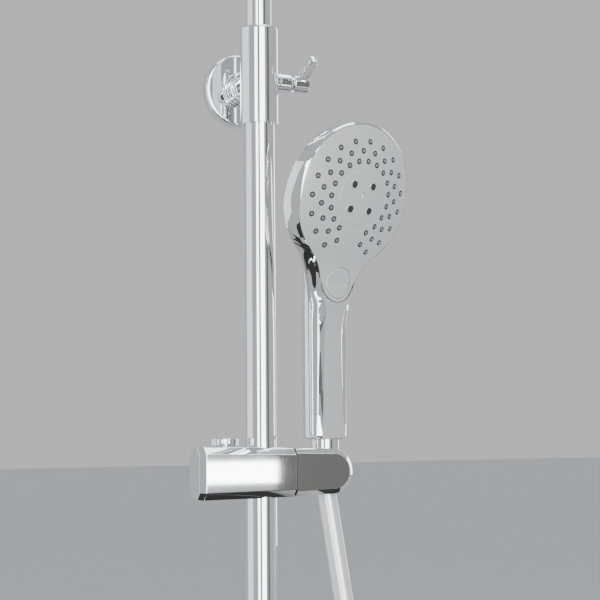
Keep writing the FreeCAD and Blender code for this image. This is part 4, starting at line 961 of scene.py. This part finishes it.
piece_of(
    "handle_panel", "hand_shower", handle_grey,
    [
        (hand(*np.moveaxis(panel_ring, -1, 0)), False, True),
        (hand(*np.moveaxis(np.stack([over[0], under[0]]), -1, 0)), False, False),
        (hand(*np.moveaxis(np.stack([over[-1], under[-1]]), -1, 0)), False, False),
    ],
)


def in_hand(points):
    """The reverse of hand(): the shared frame to across, front and up in millimetres."""
    x, y, z = ((points[..., k] - at) * 1000 for k, at in enumerate((socket_x, axis_y, slider_z)))
    c, n = math.cos(hand_swing), math.sin(hand_swing)
    return np.stack([x * c + y * n, x * n - y * c, z], -1)


def on_plate(radius, lift, sides=96):
    """A ring round the button's axis, moved along the axis until it lies on the plate."""
    along = np.array(button_front)
    side = np.cross(along, (0.0, 0.0, 1.0))
    side /= np.linalg.norm(side)
    a = np.linspace(0, 2 * np.pi, sides, endpoint=False)
    ring = np.cos(a)[:, None] * side + np.sin(a)[:, None] * np.cross(along, side)
    ring = np.array(button_base) + radius * 0.001 * ring
    for _ in range(40):
        s, f, up = np.moveaxis(in_hand(ring), -1, 0)
        ring = ring + 0.0008 * (front_of(s, up) - f)[:, None] * along
    return ring + lift * 0.001 * along


button_rows = [on_plate(r, lift) for r, lift in (
    (0, 0.22), (2, 0.22), (4, 0.22), (6, 0.22), (8, 0.22), (10, 0.22), (11.2, 0.2),
    (11.7, 0.1), (11.95, -0.1), (12.0, -0.4),
)]
button_rows += [on_plate(12.0, -3.2), on_plate(6.0, -3.2), on_plate(0.0, -3.2)]
piece_of(
    "spray_button", "spray_select", plate_slot, [(np.stack(button_rows), False, True)],
    ["select_button"],
)


# --- Nozzles and jets: soft silicone nubs in three rings, each on a black disc that paints the
# shade of a groove round it, and four short collars round the middle for the mist, with black
# discs in them that paint the shade of their bores.
def on_face(x, y, proud):
    """Centre and outward direction of points on the dome; x across, y up on the face."""
    x, y = np.broadcast_arrays(np.asarray(x, float), np.asarray(y, float))
    a = plate_a + y * math.cos(face_tilt)
    f = front_of(x, a)
    out = np.stack([x, f - dome_f, a - dome_a], -1)
    out /= np.linalg.norm(out, axis=-1)[:, None]
    base = np.stack([x, f, a], -1) + out * proud
    place = hand(*np.moveaxis(base, -1, 0))
    return place, hand(*np.moveaxis(base + out, -1, 0)) - place


ring_pitch, ring_turn = math.radians(18.9), math.radians(3.2)
ring_x, ring_y = [], []
for radius, count in ((45.0, 17), (37.0, 18), (29.0, 17)):
    for k in range(count):
        turn_to = ring_turn + ring_pitch * (k - (count - 1) / 2)
        ring_x.append(radius * math.sin(turn_to))
        ring_y.append(radius * math.cos(turn_to))
nozzle_at, nozzle_out = on_face(ring_x, ring_y, 0.0)
# Painted shade: a flat black disc, a little proud of the plate under each nub, stands in for the
# shaded groove round it.
piece_of(
    "nozzle_rings", "hand_shower", rubber_and_painted_shade,
    studs([(0, -0.6), (2.3, -0.6), (2.3, 0.04), (2.1, 0.1), (0, 0.1)],
          nozzle_at, nozzle_out, 24),
    (), 50,
)
piece_of(
    "nozzle_nubs", "hand_shower", silicone,
    studs([(0, -0.4), (1.2, -0.4), (1.15, 0.4), (0.95, 0.6), (0.5, 0.62), (0.38, 0.35),
           (0, 0.3)], nozzle_at, nozzle_out, 20),
    ["spray_nozzles", "nozzle_mat"], 50,
)
jet_spread = 13.5 / math.sqrt(2)
jet_at, jet_out = on_face(
    np.array([1, -1, -1, 1]) * jet_spread, np.array([1, 1, -1, -1]) * jet_spread, 0.0
)
piece_of(
    "jet_collars", "hand_shower", plate_slot,
    studs([(2.8, -0.5), (3.75, -0.5), (3.75, 0.35), (3.5, 0.6), (3.0, 0.6), (2.8, 0.4),
           (2.8, -0.5)], jet_at, jet_out, 32),
    (), 50,
)
# Painted shade: a black disc inside each collar stands in for the shade down its bore.
piece_of(
    "jet_holes", "hand_shower", rubber_and_painted_shade,
    studs([(0, -0.6), (2.85, -0.6), (2.85, 0.3), (0, 0.3)], jet_at, jet_out, 32),
    ["spray_jets"], 50,
)


# --- Mixer: a turned and chromed body between two handles, on two wall unions with round
# cover plates; nuts hold the riser on top and the hose below.
bar_low, bar_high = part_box("thermostat_cartridge")
mixer_z = (bar_low.z + bar_high.z) / 2
half_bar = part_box("mixer_body")[1].x * 1000
inlets, outlet_x = (-0.075, 0.075), -0.045
piece_of(
    "mixer_turned", "column", chrome,
    [
        turned(
            [(0, -half_bar), (17.2, -half_bar), (21, -half_bar, 1.2), (21, half_bar, 1.2),
             (17.2, half_bar), (0, half_bar)],
            (0, axis_y, mixer_z), RIGHT, 112,
        ),
        turned([(0, 18), (12, 18), (12, 27), (0, 27)], (0, axis_y, mixer_z), UP),
        turned([(0, 18), (9.9, 18), (9.9, 27, 0.5), (8.4, 27), (8.4, 35, 0.4), (0, 35)],
               (outlet_x, axis_y, mixer_z), DOWN),
        *(turned([(0, 17), (13, 17), (13, 26), (0, 26)], (x, axis_y, mixer_z), WALL)
          for x in inlets),
    ],
    ["mixer_body"],
)
for name, at_x, facing in (("temperature", -half_bar, LEFT), ("flow", half_bar, RIGHT)):
    grip = piece_of(
        name + "_grip", name, chrome,
        [turned(
            [(0, -16), (4, -16, 0.3), (4, 0.5), (19.5, 0.5, 0.5), (21.5, 2.2, 1.0),
             (21.5, 8.5, 0.5), (21.0, 9, 0.3), (21.0, 10, 0.3), (21.5, 10.5, 0.5),
             (21.5, 43, 2.2), (18.5, 44.5, 2.5), (0, 44.5)],
            (at_x * 0.001, axis_y, mixer_z), facing, 112,
        )],
        [name + "_handle"],
    )
    stop_low, stop_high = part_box(name + "_stop")
    stop_at = ((stop_low.x + stop_high.x) / 2, stop_high.y, mixer_z)
    carved(grip, [drill([(0, -3), (4.35, -3), (4.35, 30), (0, 30)], stop_at, ROOM, 48)])
    piece_of(
        name + "_stop_pin", name + "_release", chrome,
        [turned([(0, 0), (4, 0, 0.2), (4, 7.6, 0.9), (0, 7.75)], stop_at, ROOM, 48)],
        [name + "_stop"],
    )
nut_shape = [(12, 0), (16, 0, 0.5), (16, 9.5, 0.3), (14.8, 12, 0.6), (11.0, 12, 0.2),
             (11.0, 4), (12, 4), (12, 0)]
nuts_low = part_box("union_nuts")[0]
piece_of(
    "union_nuts_turned", "column", chrome,
    [turned(nut_shape, (x, nuts_low.y, mixer_z), WALL) for x in inlets],
    ["union_nuts"],
)
covers_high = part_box("cover_plates")[1]
piece_of(
    "covers", "column", chrome,
    [turned(
        [(30.5, 0), (32, 0, 0.3), (30.2, 7, 3.0), (22, 10, 3.0), (11, 10, 0.4), (11, 8.6, 0.3),
         (22, 8.6, 2), (28.6, 6, 1), (30.5, 0)],
        (x, covers_high.y, mixer_z), ROOM, 112,
    ) for x in inlets],
    ["cover_plates"],
)
foot_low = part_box("riser_nut")[0]
piece_of(
    "riser_nut_turned", "column", chrome,
    [turned(
        [(12, 0), (15.5, 0, 0.8), (15.5, 5, 0.3), (15.0, 5.5, 0.3), (15.0, 6.5, 0.3),
         (15.5, 7, 0.3), (15.5, 20.5, 0.5), (14, 22, 0.8), (12, 22), (12, 0)],
        (0, axis_y, foot_low.z), UP,
    )],
    ["riser_nut"],
)
tail_low, tail_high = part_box("hose_nut")
piece_of(
    "hose_nut_turned", "column", chrome,
    [turned(
        [(7.6, 0), (9.2, 0, 0.5), (11.5, 3, 1.5), (11.5, 19, 0.6), (8.5, 19), (8.5, 11),
         (7.6, 11), (7.6, 0)],
        ((tail_low.x + tail_high.x) / 2, axis_y, tail_low.z), UP,
    )],
    ["hose_nut"],
)


# --- Hidden pieces keep the CAD's own shapes: seals and bushes of black rubber and white
# plastic, screws of steel, and brass fittings.
hidden = {
    "white_plastic": finish_of(
        "white_plastic", (0.72, 0.72, 0.70), (0.66, 0.66, 0.65), 0.0, 0.42, 0.05, 80, 0.00002
    ),
    "steel": finish_of(
        "steel", (0.56, 0.55, 0.54), (0.50, 0.495, 0.49), 1.0, 0.30, 0.05, 120, 0.00001
    ),
    "brass": finish_of(
        "brass", (0.70, 0.52, 0.25), (0.62, 0.45, 0.21), 1.0, 0.28, 0.06, 60, 0.00001
    ),
    "polished_chrome": chrome, "satin_face": satin, "grey_silicone": silicone,
    "black_rubber": rubber_and_painted_shade, "hose_satin": hose_silver,
}
for name, node in frame["nodes"].items():
    slots = [m.name.split(".")[0] for m in node.data.materials if m]
    slot_name = next((slot for slot in slots if slot in hidden), "steel")
    node.data.materials.clear()
    node.data.materials.append(hidden[slot_name])


# --- Studio: a pale floor, a pale surround and large soft lights like softboxes. Dull cards
# that only polished metal sees give the chrome its dark lines.
def softbox(name, place, aim, width, height, power):
    light = bpy.data.lights.new(name, "AREA")
    light.shape, light.size, light.size_y, light.energy = "RECTANGLE", width, height, power
    lamp = bpy.data.objects.new(name, light)
    bpy.context.scene.collection.objects.link(lamp)
    lamp.location = place
    lamp.rotation_euler = (Vector(aim) - Vector(place)).to_track_quat("-Z", "Y").to_euler()
    lamp.visible_camera = False
    return lamp


softbox("front", (-0.145, -1.60, 0.14), (-0.145, 0.0, 0.14), 0.85, 1.52, 30)
softbox("strip_right", (0.56, -1.60, -0.356), (0.56, 0.0, -0.356), 0.26, 0.052, 0.5)
softbox("front_left", (-1.12, -1.32, -0.10), (0.0, -0.05, -0.30), 0.5, 1.5, 14)
softbox("above", (0.25, -0.6, 1.6), (0.0, -0.05, -0.3), 1.5, 1.5, 26)
softbox("side_left", (-1.7, 0.75, 0.0), (0.0, -0.05, -0.3), 2.0, 2.6, 16)
softbox("rim_right", (1.5, 0.8, 0.2), (0.0, -0.05, -0.3), 0.5, 1.5, 8)


def dark_card(name, corner, along, up, tone):
    """A dull sheet that only polished metal sees: it draws the dark lines in the chrome."""
    sheet = bpy.data.meshes.new(name)
    corner, along, up = Vector(corner), Vector(along), Vector(up)
    corners = [corner, corner + along, corner + along + up, corner + up]
    sheet.from_pydata(corners, [], [(0, 1, 2, 3)])
    dull = bpy.data.materials.new(name)
    dull.use_nodes = True
    tree = dull.node_tree
    glow = tree.nodes.new("ShaderNodeEmission")
    glow.inputs["Color"].default_value = (1.0, 0.99, 0.97, 1)
    glow.inputs["Strength"].default_value = tone
    tree.links.new(glow.outputs["Emission"], tree.nodes["Material Output"].inputs["Surface"])
    sheet.materials.append(dull)
    card = bpy.data.objects.new(name, sheet)
    bpy.context.scene.collection.objects.link(card)
    card.visible_camera = card.visible_diffuse = card.visible_shadow = False


dark_card("card_right", (0.70, -1.63, -1.1), (0.55, 0, 0), (0, 0, 2.0), 0.20)
dark_card("card_behind_camera", (-0.78, -1.63, -0.9), (0.18, 0, 0), (0, 0, 1.8), 0.16)
dark_card("card_below", (-1.2, -1.6, cad_box[0].z - 0.02), (2.4, 0, 0), (0, 1.9, 0), 0.05)

surround = bpy.data.worlds.new("surround")
surround.use_nodes = True
bpy.context.scene.world = surround
sky, sky_links = surround.node_tree.nodes, surround.node_tree.links
seen = sky["Background"]
seen.inputs["Color"].default_value = (0.60, 0.60, 0.60, 1)
seen.inputs["Strength"].default_value = 1.0
lit = sky.new("ShaderNodeBackground")
lit.inputs["Color"].default_value = (0.9, 0.92, 0.95, 1)
lit.inputs["Strength"].default_value = 0.50
ray = sky.new("ShaderNodeLightPath")
either = sky.new("ShaderNodeMixShader")
mirrored_sky = sky.new("ShaderNodeBackground")
mirrored_sky.inputs["Color"].default_value = (0.93, 0.96, 1.0, 1)
mirrored_sky.inputs["Strength"].default_value = 0.62
by_ray = sky.new("ShaderNodeMixShader")
sky_links.new(ray.outputs["Is Glossy Ray"], by_ray.inputs[0])
sky_links.new(lit.outputs["Background"], by_ray.inputs[1])
sky_links.new(mirrored_sky.outputs["Background"], by_ray.inputs[2])
sky_links.new(ray.outputs["Is Camera Ray"], either.inputs[0])
sky_links.new(by_ray.outputs["Shader"], either.inputs[1])
sky_links.new(seen.outputs["Background"], either.inputs[2])
sky_links.new(either.outputs["Shader"], sky["World Output"].inputs["Surface"])

floor_mesh = bpy.data.meshes.new("floor")
floor_z = cad_box[0].z - 0.03
floor_mesh.from_pydata(
    [(-40, -40, floor_z), (40, -40, floor_z), (40, 40, floor_z), (-40, 40, floor_z)],
    [], [(0, 1, 2, 3)],
)
floor_finish = finish_of(
    "floor", (0.93, 0.93, 0.93), (0.91, 0.91, 0.91), 0.0, 0.7, 0.05, 3, 0.0001
)
floor_mesh.materials.append(floor_finish)
floor = bpy.data.objects.new("floor", floor_mesh)
bpy.context.scene.collection.objects.link(floor)
floor.visible_glossy = False
